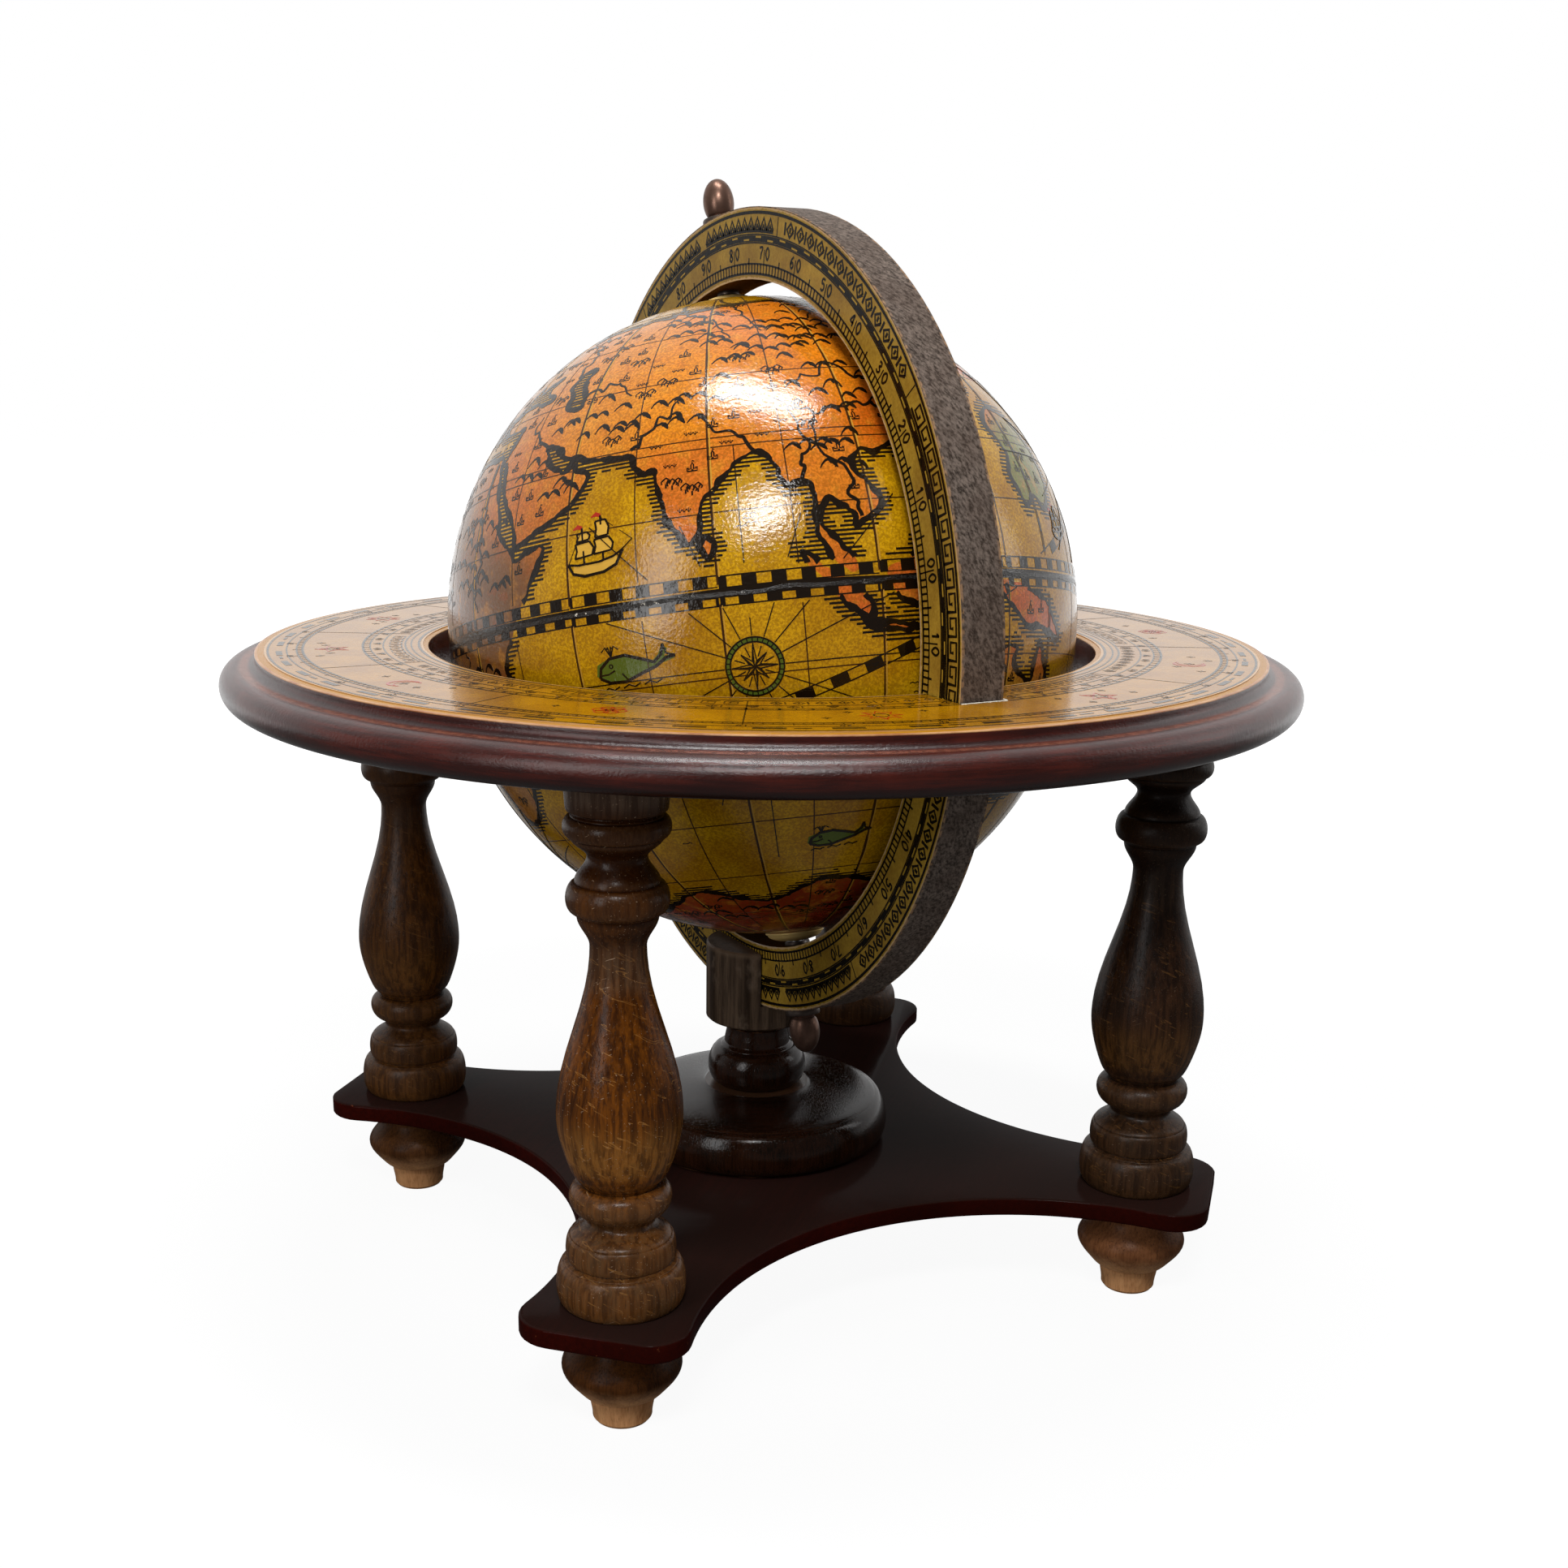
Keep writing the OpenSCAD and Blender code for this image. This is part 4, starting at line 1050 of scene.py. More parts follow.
def map_paper():
    """Old varnished paper: gold seas and warm lands, flecked dark and pale."""
    paint = Finish("varnished_map", roughness=0.45, coat=1.0, coat_roughness=0.11, coat_ior=1.5)
    shore = paint.attribute("shore")
    grain = paint.noise(0.75, roughness=0.65)
    cloud = paint.noise(20, detail=4, roughness=0.6)
    blot = paint.noise(5.5, roughness=0.6)
    sea = paint.mix(paint.step(cloud), (208, 158, 14), (174, 122, 8))
    land = paint.attribute("land_tint", colour=True)
    land = paint.mix(paint.step(blot, 0.5, 0.72, 0, 0.5), land, (216, 146, 40))
    land = paint.mix(paint.step(blot, 0.44, 0.3, 0, 0.35), land, (160, 72, 20))
    colour = paint.mix(paint.step(shore, -0.15, 0.15), sea, land)
    colour = paint.mix(paint.times(paint.step(grain, 0.38, 0.6), 0.5), colour, (104, 58, 2))
    colour = paint.mix(paint.times(paint.step(grain, 0.62, 0.78), 0.3), colour, (232, 184, 78))
    paint.set("Base Color", colour)
    paint.set("Roughness", paint.step(grain, 0.3, 0.7, 0.4, 0.55))
    varnish(paint)
    return paint.material


def map_half(name, side, coasts, material, node):
    bm = bmesh.new()
    bmesh.ops.create_icosphere(bm, subdivisions=7, radius=GLOBE_R)
    everything = bm.verts[:] + bm.edges[:] + bm.faces[:]
    bmesh.ops.bisect_plane(bm, geom=everything, plane_co=(0, 0, 0), plane_no=(0, 0, -side), clear_outer=True,
                           dist=1e-6)
    bmesh.ops.recalc_face_normals(bm, faces=bm.faces)
    if sum(f.normal.dot(f.calc_center_median()) for f in bm.faces[:50]) < 0:
        bmesh.ops.reverse_faces(bm, faces=bm.faces)
    for v in bm.verts:
        v.co *= GLOBE_R / v.co.length
    outside = np.array([v.co for v in bm.verts])
    shore, tint = coasts.shore(outside), land_tints(outside)
    shore_layer = bm.verts.layers.float.new("shore")
    tint_layer = bm.verts.layers.float_color.new("land_tint")
    for v, distance, colour in zip(bm.verts, shore, tint):
        v[shore_layer] = distance
        v[tint_layer] = (*colour, 1)
    skin = bm.faces[:]
    bmesh.ops.solidify(bm, geom=skin, thickness=PAPER)
    placed(bm, TO_GLOBE)
    return add_piece(name, bm, material, "globe", [node])


DEGREE_MM = math.radians(1) * GLOBE_R / MM
GORES = 14
GORE = 360 / GORES
FIRST_GORE = 81.9
BAND_TOP, BAND_FOOT = 6.0, 3.4


def open_water(points):
    """Where a drawn line may run: off the chequered bands at the joint of the halves."""
    return (points[:, 2] > BAND_TOP * MM) | (points[:, 2] < -BAND_FOOT * MM)


def places_at(lon, lat):
    """Places from longitudes and latitudes, either of which may be one number for all."""
    return np.stack(np.broadcast_arrays(lon, lat), 1)


def unbroken(mask):
    """Where each run of true values starts and ends."""
    turns = np.flatnonzero(np.diff(np.concatenate([[0], mask.astype(int), [0]])))
    return zip(turns[::2], turns[1::2])


def ink_path(ink, places, width, closed=False, clear=None):
    """A stroke over the globe through longitudes and latitudes, broken where it isn't clear."""
    points = on_globe(places)
    ups = points / GLOBE_R
    width = np.broadcast_to(width, len(points))
    clear = open_water(points) if clear is None else clear
    if clear.all():
        ink.stroke(points, ups, width, closed)
        return
    if closed:
        first = int(np.argmin(clear))
        points, ups, width, clear = (np.roll(a, -first, 0) for a in (points, ups, width, clear))
    for start, end in unbroken(clear):
        if end - start > 1:
            ink.stroke(points[start:end], ups[start:end], width[start:end])


def draw_coasts(coasts, ink):
    """Heavy pen strokes that swell and thin."""
    for places, points in zip(coasts.places, coasts.rings):
        swell = np.array([noise.noise(Vector(p) * 260) for p in points])
        ink_path(ink, places, 1.75 + 1.6 * swell, closed=True)


def draw_sea_lines(coasts, ink):
    """Short level strokes in the sea along every coast."""
    row_gap, fine, thick = 0.7, 0.28, 0.64
    for row in np.arange(-78, 80, row_gap):
        if -2.2 < row < 3.6:
            continue
        count = max(24, int(360 * cosd(row) / fine))
        lon = np.linspace(-180, 180, count, endpoint=False)
        points = on_globe(places_at(lon, row))
        reach = np.array([3.4 + 1.7 * waver(l * 0.9, row * 2.3, 0) for l in lon])
        shore = coasts.shore(points)
        inked = (shore < 0.2) & (shore > -reach)
        for start, end in unbroken(inked):
            if end - start >= 3:
                keep = list(range(start, end - 1, max(2, min(5, (end - start) // 2)))) + [end - 1]
                ink.stroke(points[keep], points[keep] / GLOBE_R, thick)


def draw_gore_edges(dark, pale):
    """Where one paper gore overlies the next: a dark glue line, and a pale lapped edge that is also a
    painted highlight.
    """
    for k in range(GORES):
        lat = np.arange(-81, 81.1, 1.5)
        wobble = np.array([waver(k * 7.3, a * 0.2, 1) for a in lat])
        aside = 0.1 * wobble / np.cos(np.radians(lat))
        clear = np.abs(on_globe(places_at(0, lat))[:, 2]) > 1.6 * MM
        lon = FIRST_GORE + k * GORE + aside
        ink_path(dark, places_at(lon, lat), 0.62 + 0.3 * wobble, clear=clear)
        # The pale line: the lapped edge, and a painted highlight along its ridge
        lon = lon + 0.34 / np.cos(np.radians(lat))
        ink_path(pale, places_at(lon, lat), 0.36, clear=clear)


def draw_grid(ink):
    """A meridian down the middle of every gore, and parallels between, doubled at the tropics."""
    for k in range(GORES):
        lat = np.arange(-76, 76.1, 1.5)
        ink_path(ink, places_at(FIRST_GORE + (k + 0.5) * GORE, lat), 0.36)
    for row in [k * GORE / 2 for k in range(-6, 7) if k] + [-67, -66.2, -24, 24, 77]:
        lon = np.arange(-180, 180, 2 / cosd(row))
        ink_path(ink, places_at(lon, row), 0.36, closed=True)


def draw_meridian_scale(ink, lon):
    """A narrow scale of dark and light lengths down one meridian."""
    lat = np.arange(-66, 66.1, 1.5)
    for aside in (-0.62, 0.62):
        ink_path(ink, places_at(lon + aside / 1.745 / np.cos(np.radians(lat)), lat), 0.3)
    for start in np.arange(-66, 66, 4.6):
        ink_path(ink, [(lon, start), (lon, start + 1.15), (lon, start + 2.3)], 1.2)


def band_block(ink, lon0, lon1, lat0, lat1):
    """One printed block between two meridians and two parallels."""
    points = on_globe(places_at(np.linspace(lon0, lon1, 3), (lat0 + lat1) / 2))
    ink.stroke(points, points / GLOBE_R, (lat1 - lat0) * DEGREE_MM)


def draw_equator_bands(ink):
    """A chequered scale on either side of the joint, printed gore by gore and so never quite in line."""
    pick = random.Random(3)
    for k in range(GORES):
        left = FIRST_GORE + k * GORE
        for sign, low, high, gap in ((1, 1.1, 2.8, 0.12), (-1, 0.62, 1.8, -0.12)):
            shift = pick.uniform(-0.16, 0.16)
            low, high = sign * (low + shift), sign * (high + shift)
            lon = np.linspace(left + 0.1, left + GORE - 0.1, 12)
            for row, width in ((high + sign * 0.06, 0.4), (low - sign * 0.04, 0.32)):
                points = on_globe(places_at(lon, row))
                ink.stroke(points, points / GLOBE_R, width)
            start = left + pick.uniform(-2, 0)
            while start < left + GORE:
                end = start + 2.35 + pick.uniform(-0.1, 0.1)
                if end > left + 0.5 and start < left + GORE - 0.4:
                    band_block(ink, max(start, left + 0.1), min(end, left + GORE - 0.1), low, high)
                start = end + 2.2 + gap
    lon = np.arange(-180, 180, 1.0)
    for sign, away, width in ((1, 0.42, 1.5), (-1, 0.30, 1.0)):
        drift = np.array([waver(l * 0.05, sign * 7, 0) for l in lon])
        points = on_globe(places_at(lon, sign * (away + 0.2 * drift)))
        ink.stroke(points, points / GLOBE_R, width * (1 + 0.45 * drift), closed=True)


def ecliptic(t, off=0.0):
    """A place on the sun's path, t degrees along it and off degrees from it."""
    slant = math.radians(TROPIC)
    a, b = math.radians(t), math.radians(off)
    x, y, z = math.cos(b) * math.cos(a), math.cos(b) * math.sin(a), math.sin(b)
    y, z = y * math.cos(slant) - z * math.sin(slant), y * math.sin(slant) + z * math.cos(slant)
    return math.degrees(math.atan2(y, x)) + 138, math.degrees(math.asin(z))


def draw_ecliptic(ink):
    for off in (-0.85, 0.85):
        ink_path(ink, [ecliptic(t, off) for t in np.arange(0, 360, 1.5)], 0.4, closed=True)
    for i in range(60):
        places = [ecliptic(6 * i + t) for t in (0, 1, 2, 3)]
        ink_path(ink, places, 1.7 * DEGREE_MM)


def local_points(middle_place, offsets, turn=0.0):
    """Points given in mm east and north of a place, as longitudes and latitudes."""
    c, s = math.cos(turn), math.sin(turn)
    lon0, lat0 = middle_place
    return [(lon0 + (x * c - y * s) / DEGREE_MM / cosd(lat0), lat0 + (x * s + y * c) / DEGREE_MM)
            for x, y in offsets]


def sized(points, wide, tall=None):
    """A figure drawn in units, in mm."""
    return [(x * wide, y * (tall or wide)) for x, y in points]


def arc(radius, start, end, count=12, middle_at=(0, 0)):
    x, y = middle_at
    return [(x + radius * cosd(a), y + radius * math.sin(math.radians(a)))
            for a in np.linspace(start, end, count)]


def draw_hills(ink, place, size, peaks, pick):
    """A range of pen hills: a row of humps, each with a heavy shaded flank."""
    x = 0.0
    for _ in range(peaks):
        tall, lean = size * pick.uniform(0.75, 1.1), pick.uniform(-0.1, 0.25) * size
        hump = [(-1.0, 0), (-0.72, 0.4), (-0.35, 0.72), (0.05, 0.85), (0.42, 0.7), (0.75, 0.36),
                (1.05, -0.02)]
        y = pick.choice((-0.4, 0.0, 0.35)) * size
        ridge = [(x + px * size * 0.8 + lean * py, y + py * tall) for px, py in hump]
        ink_path(ink, local_points(place, ridge), [0.35, 0.5, 0.7, 1.0, 1.4, 1.2, 0.4])
        flank = [(x + lean + 0.1 * size, y + tall * 0.82), (x + lean * 0.6 + 0.22 * size, y + tall * 0.4)]
        ink_path(ink, local_points(place, flank), [1.1, 0.3])
        x += size * pick.uniform(1.35, 1.6)


def draw_tree(ink, place, size):
    crown = [(-0.5, 0.5), (-0.6, 0.85), (-0.25, 1.15), (0.05, 1.35), (0.35, 1.1), (0.6, 0.8), (0.45, 0.5)]
    ink_path(ink, local_points(place, [(0, 0), (0, size * 0.55)]), 0.5)
    ink_path(ink, local_points(place, sized(crown, size)), 0.45)
    ink_path(ink, local_points(place, [(size * 0.1, size * 0.6), (size * 0.28, size)]), 0.5)


def draw_town(ink, place, size):
    """A walled town with a pointed tower."""
    walls = [(-1.1, 0), (-1.1, 0.8), (-0.8, 0.8), (-0.8, 0.55), (-0.2, 0.55), (-0.2, 1.5), (0.1, 2.1),
             (0.4, 1.5), (0.4, 0.6), (0.9, 0.6), (0.9, 0.9), (1.2, 0.9), (1.2, 0), (-1.1, 0)]
    gate, flag = [(0.1, 0.1), (0.1, 0.45)], [(0.1, 2.1), (0.1, 2.6), (0.6, 2.4)]
    for figure, width in ((walls, 0.42), (gate, 0.6), (flag, 0.34)):
        ink_path(ink, local_points(place, sized(figure, size)), width)


def scatter_land_signs(coasts, ink, seed=11):
    """Ranges of hills, woods, walled towns and tufts of grass, well inside the coasts."""
    pick = random.Random(seed)
    taken = []
    for _ in range(12000):
        lat = math.degrees(math.asin(pick.uniform(-0.93, 0.95)))
        lon = pick.uniform(-180, 180)
        point = on_globe([(lon, lat)])[0]
        if -5 < lat < 6 or any(np.linalg.norm(point - other) < 5.5 * MM for other in taken):
            continue
        inland = coasts.shore([point])[0]
        if inland < 3.2:
            continue
        taken.append(point)
        kind = waver(lon * 0.05, lat * 0.07, 3) + pick.uniform(-0.12, 0.12)
        if kind > 0 and inland > 4.5:
            draw_hills(ink, (lon, lat), pick.uniform(2.6, 3.5), pick.randint(1, 3), pick)
        elif kind > -0.12:
            draw_town(ink, (lon, lat), pick.uniform(1.15, 1.45))
        elif kind > -0.24:
            for x, y in ((-1.6, 0.2), (0.2, -0.5), (1.9, 0.3)):
                draw_tree(ink, local_points((lon, lat), [(x, y)])[0], pick.uniform(1.8, 2.4))
        else:
            for x in (-1.2, 0.0, 1.3):
                tuft = [(x - 0.5, 0.9), (x, 0), (x + 0.1, 1.2), (x + 0.15, 0.05), (x + 0.7, 0.85)]
                ink_path(ink, local_points((lon, lat), tuft), 0.4)


RIVERS = [
    [(79.5, 30.5), (83, 27.5), (87.5, 25), (90.3, 22.6)],
    [(77, 34), (73.5, 31), (70.5, 28), (67.5, 24.9)],
    [(95, 33), (102, 28.5), (108, 30), (114, 29.5), (121.5, 31.6)],
    [(97, 35), (103, 37.5), (108, 40.5), (112, 36), (118.8, 37.6)],
    [(97, 31), (98.6, 25), (97.5, 20), (97.6, 16.9)],
    [(100, 30), (101, 22), (105, 16.5), (106, 10.5)],
    [(88, 49), (84, 55), (76, 60), (70, 63), (68.5, 68.5)],
    [(96, 51), (92, 58), (88, 65), (82, 71.5)],
    [(108, 54), (118, 60), (127, 64), (127, 72.4)],
    [(38, 56), (46, 55), (49, 51), (46, 48), (48.6, 46)],
    [(66, 37), (62, 41), (56, 40), (53.2, 40)],
    [(42, 38), (42, 34), (45.5, 32), (48, 30.2)],
    [(32, 0), (31.5, 8), (33, 14), (31, 21), (31.2, 30.8)],
    [(26, -10), (25, 0), (18, 1.5), (13, -5.5)],
    [(-3, 14), (3, 13), (6.5, 5)],
    [(24, -13), (30, -16), (36.4, -18.6)],
    [(-72, -5), (-63, -3.5), (-55, -2), (-50.5, -0.5)],
    [(-58, -17), (-57.5, -26), (-58.5, -34)],
    [(-94, 46), (-91, 38), (-90, 30)],
    [(-110, 46), (-100, 43), (-92, 38.8)],
    [(142, -25), (142, -31), (139.6, -35.2)],
    [(-120, 63), (-128, 67.5), (-134, 69.4)]]


def draw_rivers(ink):
    for course in RIVERS:
        knots = np.array(course, float)
        t = np.linspace(0, len(knots) - 1, 14 * (len(knots) - 1) + 1)
        smooth = np.stack([np.interp(t, np.arange(len(knots)), knots[:, k]) for k in (0, 1)], 1)
        for place in smooth:
            shake = noise.noise_vector(Vector((place[0], place[1], 5)) * 0.45)
            place += (shake.x * 1.9, shake.y * 1.9)
        ink_path(ink, smooth, np.linspace(0.5, 1.2, len(smooth)))


def draw_rose(dark, green, place, radius, rhumbs=0.0):
    """A compass rose in a green ring, with lines of bearing round it."""
    def line(ink, a, near, far, width, count=2):
        ends = [(r * math.cos(a), r * math.sin(a)) for r in np.linspace(near, far, count)]
        ink_path(ink, local_points(place, ends), width)
    for r, width in ((radius, 0.42), (radius * 0.84, 0.42)):
        ink_path(dark, local_points(place, arc(r, 0, 360, 49)), width)
    ink_path(green, local_points(place, arc(radius * 0.92, 0, 360, 49)), radius * 0.155)
    for i in range(32):
        line(dark, math.tau * i / 32, radius * 0.85, radius * 0.99, 0.28)
    waist = radius * 0.2
    for i in range(8):
        a = math.tau * i / 8
        reach = radius * (0.8 if i % 2 == 0 else 0.62)
        tip = (reach * math.cos(a), reach * math.sin(a))
        for b in (a + math.pi / 8, a - math.pi / 8):
            corner = (waist * math.cos(b), waist * math.sin(b))
            ink_path(dark, local_points(place, [corner, tip]), 0.3)
        thick = [0.15] + [waist * k for k in (0.44, 0.3, 0.15)] + [0.05]
        half = [(tip[0] * t - math.sin(a) * w / 2, tip[1] * t + math.cos(a) * w / 2)
                for t, w in zip((0.0, 0.25, 0.5, 0.75, 1.0), thick)]
        ink_path(dark, local_points(place, half), thick)
        line(dark, a + math.pi / 8, radius * 0.36, radius * 0.72, 0.3)
    if rhumbs:
        for i in range(16):
            line(dark, math.tau * i / 16, radius * 1.05, rhumbs * (1 if i % 2 == 0 else 0.7), 0.28, 12)


def draw_figure(place, size, turn, strokes):
    """Strokes are (ink, points in units, width in mm), drawn the given number of mm to a unit."""
    for ink, points, width in strokes:
        ink_path(ink, local_points(place, sized(points, size), turn), width)


def draw_ship(dark, sail, red, place, size, turn=0.0):
    """A small two-masted ship under full sail."""
    strokes = [(dark, [(-1.5, 0.25), (-1.25, -0.25), (-0.6, -0.5), (0.5, -0.52), (1.2, -0.3), (1.65, 0.35)],
                0.8), (dark, [(-1.5, 0.25), (-0.9, 0.1), (0.3, 0.02), (1.1, 0.12), (1.65, 0.35)], 0.6),
               (sail, [(-1.2, -0.02), (-0.4, -0.22), (0.5, -0.24), (1.3, 0.0)], 0.42 * size)]
    for x, top in ((-0.55, 1.9), (0.55, 2.3)):
        strokes.append((dark, [(x, 0.05), (x, top)], 0.6))
        for low, high, w in ((0.45, 1.15, 0.5), (1.25, top - 0.25, 0.36)):
            half = (low + high) / 2
            belly = [(x - w, low), (x - w * 0.72, half), (x - w * 0.85, high)]
            front = [(x + w, low), (x + w * 1.25, half), (x + w * 0.8, high)]
            cloth = [2 * w * size, 1.9 * w * size, 1.6 * w * size]
            strokes += [(sail, [(x, low), (x + 0.06, half), (x, high)], cloth), (dark, belly, 0.58),
                        (dark, front, 0.58), (dark, [belly[0], front[0]], 0.5),
                        (dark, [belly[2], front[2]], 0.5)]
        strokes.append((red, [(x, top), (x - 0.25, top + 0.12), (x - 0.55, top + 0.02)], [1.0, 1.3, 0.3]))
    strokes += [(dark, [(1.6, 0.35), (2.2, 0.75)], 0.3), (dark, [(2.2, 0.75), (0.55, 2.2)], 0.2),
                (dark, [(-1.45, 0.3), (-0.55, 1.8)], 0.2)]
    draw_figure(place, size, turn, strokes)


def draw_whale(dark, green, place, size, turn=0.0):
    """A plain spouting whale."""
    back = [(-1.7, -0.1), (-1.55, 0.35), (-1.0, 0.72), (-0.2, 0.75), (0.6, 0.45), (1.2, 0.2), (1.6, 0.5),
            (1.75, 0.95)]
    belly = [(-1.7, -0.1), (-1.2, -0.38), (-0.4, -0.45), (0.5, -0.2), (1.25, 0.0), (1.8, 0.3), (2.25, 0.35)]
    body = [(x, (above + below) / 2) for (x, above),
            below in zip(back, (-0.1, -0.2, -0.4, -0.42, -0.15, 0.0))]
    strokes = [
        (green, body, [w * size for w in (0.4, 0.95, 1.15, 1.15, 0.62, 0.25)]),
        (green, [(1.1, 0.1), (1.55, 0.4), (1.8, 0.8)], [0.25 * size, 0.3 * size, 0.3 * size]),
        (green, [(1.1, 0.1), (1.7, 0.25), (2.2, 0.33)], [0.2 * size, 0.25 * size, 0.2 * size]),
        (dark, back, 0.85), (dark, belly, 0.85), (dark, [(1.75, 0.95), (1.85, 0.5), (2.25, 0.35)], 0.5),
        (dark, [(-1.66, 0.02), (-1.2, 0.02), (-0.85, 0.14)], 0.4),
        (dark, arc(0.09, 0, 360, 8, (-1.0, 0.36)), 0.34),
        (dark, [(-0.5, -0.05), (-0.25, -0.42), (0.1, -0.3)], 0.42)]
    for dx in (-0.45, -0.15, 0.15, 0.45):
        spout = [(-0.9, 0.78), (-0.9 + dx * 0.5, 1.25), (-0.9 + dx, 1.2 - abs(dx) * 0.3)]
        strokes.append((dark, spout, 0.34))
    for i in range(3):
        x = -1.2 + 1.1 * i
        strokes.append((dark, [(x - 0.5, -0.72), (x - 0.2, -0.6), (x + 0.1, -0.74), (x + 0.4, -0.62)], 0.34))
    draw_figure(place, size, turn, strokes)


def draw_waves(coasts, ink, seed=5):
    """Small wave marks far from land."""
    pick = random.Random(seed)
    made = []
    while len(made) < 90:
        lat = math.degrees(math.asin(pick.uniform(-0.85, 0.85)))
        lon = pick.uniform(-180, 180)
        point = on_globe([(lon, lat)])[0]
        made.append(point)
        if abs(lat) < 7 or coasts.shore([point])[0] > -7:
            continue
        for row in range(pick.randint(1, 3)):
            x, y = pick.uniform(-2, 2), -1.3 * row
            wave = [(x - 1.5, y), (x - 0.8, y + 0.32), (x, y), (x + 0.8, y + 0.32), (x + 1.5, y)]
            ink_path(ink, local_points((lon, lat), wave), 0.3)


ROSES = [((86.3, -11.6), 8.0, 62), ((-38, 33), 8.4, 60), ((-130, -22), 8.4, 60), ((172, 22), 6.6, 50),
         ((8, -46), 6.2, 40)]
SHIPS = [((61.5, 7.6), 5.7, 0.08), ((84.5, -31), 6.4, 0.1), ((-25.5, 8), 4.8, -0.1), ((-150, 30), 5.8, 0.1),
         ((-100, -40), 5.8, 0), ((155, 8), 3.6, 0.1)]
WHALES = [((66, -9.9), 6.0, 0.05), ((-20, -25), 6.0, 0.1), ((-165, -10), 5.6, 0.0), ((100, -44), 4.6, 0.1)]


def make_map():
    coasts = Coasts()
    paper = map_paper()
    map_half("map_skin_north", 1, coasts, paper, "map_paper_north")
    map_half("map_skin_south", -1, coasts, paper, "map_paper_south")
    black = ink_finish("map_ink", (24, 15, 6))
    brown = ink_finish("map_line_ink", (58, 33, 8))
    coast, lines, bands, signs = Ink(), Ink(), Ink(), Ink()
    green, sail, red = Ink(), Ink(), Ink()
    motifs = Ink(rise=0.18 * MM)
    draw_coasts(coasts, coast)
    draw_sea_lines(coasts, lines)
    draw_equator_bands(bands)
    draw_ecliptic(bands)
    grid, laps_and_highlights = Ink(), Ink()
    draw_grid(grid)
    draw_gore_edges(grid, laps_and_highlights)
    for k in (2.5, 7.5, -3.5):
        draw_meridian_scale(bands, FIRST_GORE + k * GORE)
    draw_rivers(signs)
    scatter_land_signs(coasts, signs)
    draw_waves(coasts, signs)
    for place, radius, rhumbs in ROSES:
        draw_rose(motifs, green, place, radius, rhumbs)
    for place, size, turn in SHIPS:
        draw_ship(motifs, sail, red, place, size, turn)
    for place, size, turn in WHALES:
        draw_whale(motifs, green, place, size, turn)
    # Pale lapped gore edge, also a painted highlight along the lap
    edges = ink_finish("gore_lap_and_highlight", (186, 140, 50))
    leaf, cloth = ink_finish("map_green", (82, 98, 28)), ink_finish("map_cream", (206, 160, 62))
    flag = ink_finish("map_red", (164, 44, 26))
    for name, ink, material in (
            ("map_coasts", coast, black), ("map_sea_lines", lines, black), ("map_scales", bands, black),
            ("map_grid", grid, brown), ("map_gore_laps_and_highlights", laps_and_highlights, edges),
            ("map_hills_and_towns", signs, black), ("map_roses_and_ships", motifs, black),
            ("map_green_tint", green, leaf), ("map_sail_tint", sail, cloth), ("map_red_tint", red, flag)):
        ink.piece(name, material, "globe", "map_north", TO_GLOBE)


# ---- The joint of the two halves ----

def crust():
    """Cracked black glue and lacquer in the joint, with chips of white card."""
    paint = Finish("joint_crust", roughness=0.35, coat=1.0, coat_roughness=0.12, coat_ior=1.5)
    flake = paint.noise(1.5, detail=4, roughness=0.7)
    chips = paint.times(paint.step(flake, 0.6, 0.63), paint.step(paint.noise(11, detail=2), 0.52, 0.6))
    tone = paint.mix(paint.step(paint.noise(0.8), 0.35, 0.65), (12, 9, 7), (36, 30, 25))
    colour = paint.mix(chips, tone, (226, 222, 210))
    return paint.finished(colour, flake, (0.3, 0.6), paint.noise(1.1, detail=4, roughness=0.7), 0.35)


def make_joint():
    ink = Ink()
    lon = np.arange(-180, 180, 0.5)
    wander = np.array([0.35 * waver(cosd(a) * 9, math.sin(math.radians(a)) * 9, 2) for a in lon])
    points = on_globe(places_at(lon, wander))
    width = 1.15 + 0.7 * np.array([waver(a * 0.9, 0, 4) for a in lon])
    ink.stroke(points, points / GLOBE_R, width, closed=True, rise=0.14 * MM)
    ink.piece("joint_crust", crust(), "globe", "map_south", TO_GLOBE)


# ---- Printed rings ----

def smooth_path(points, closed=False):
    """A pen line that runs through the points without corners."""
    p = np.array(points, float)
    if closed:
        before, after, later = np.roll(p, 1, 0), np.roll(p, -1, 0), np.roll(p, -2, 0)
        spans = range(len(p))
    else:
        before = np.vstack([2 * p[0] - p[1], p[:-1]])
        after = np.vstack([p[1:], 2 * p[-1] - p[-2]])
        later = np.vstack([after[1:], 2 * after[-1] - p[-1]])
        spans = range(len(p) - 1)
    made = []
    for k in spans:
        t = np.arange(0, 1, 0.2)[:, None]
        made.append(curve_through(before[k], p[k], after[k], later[k], t))
    if not closed:
        made.append(p[-1:])
    return np.concatenate(made)


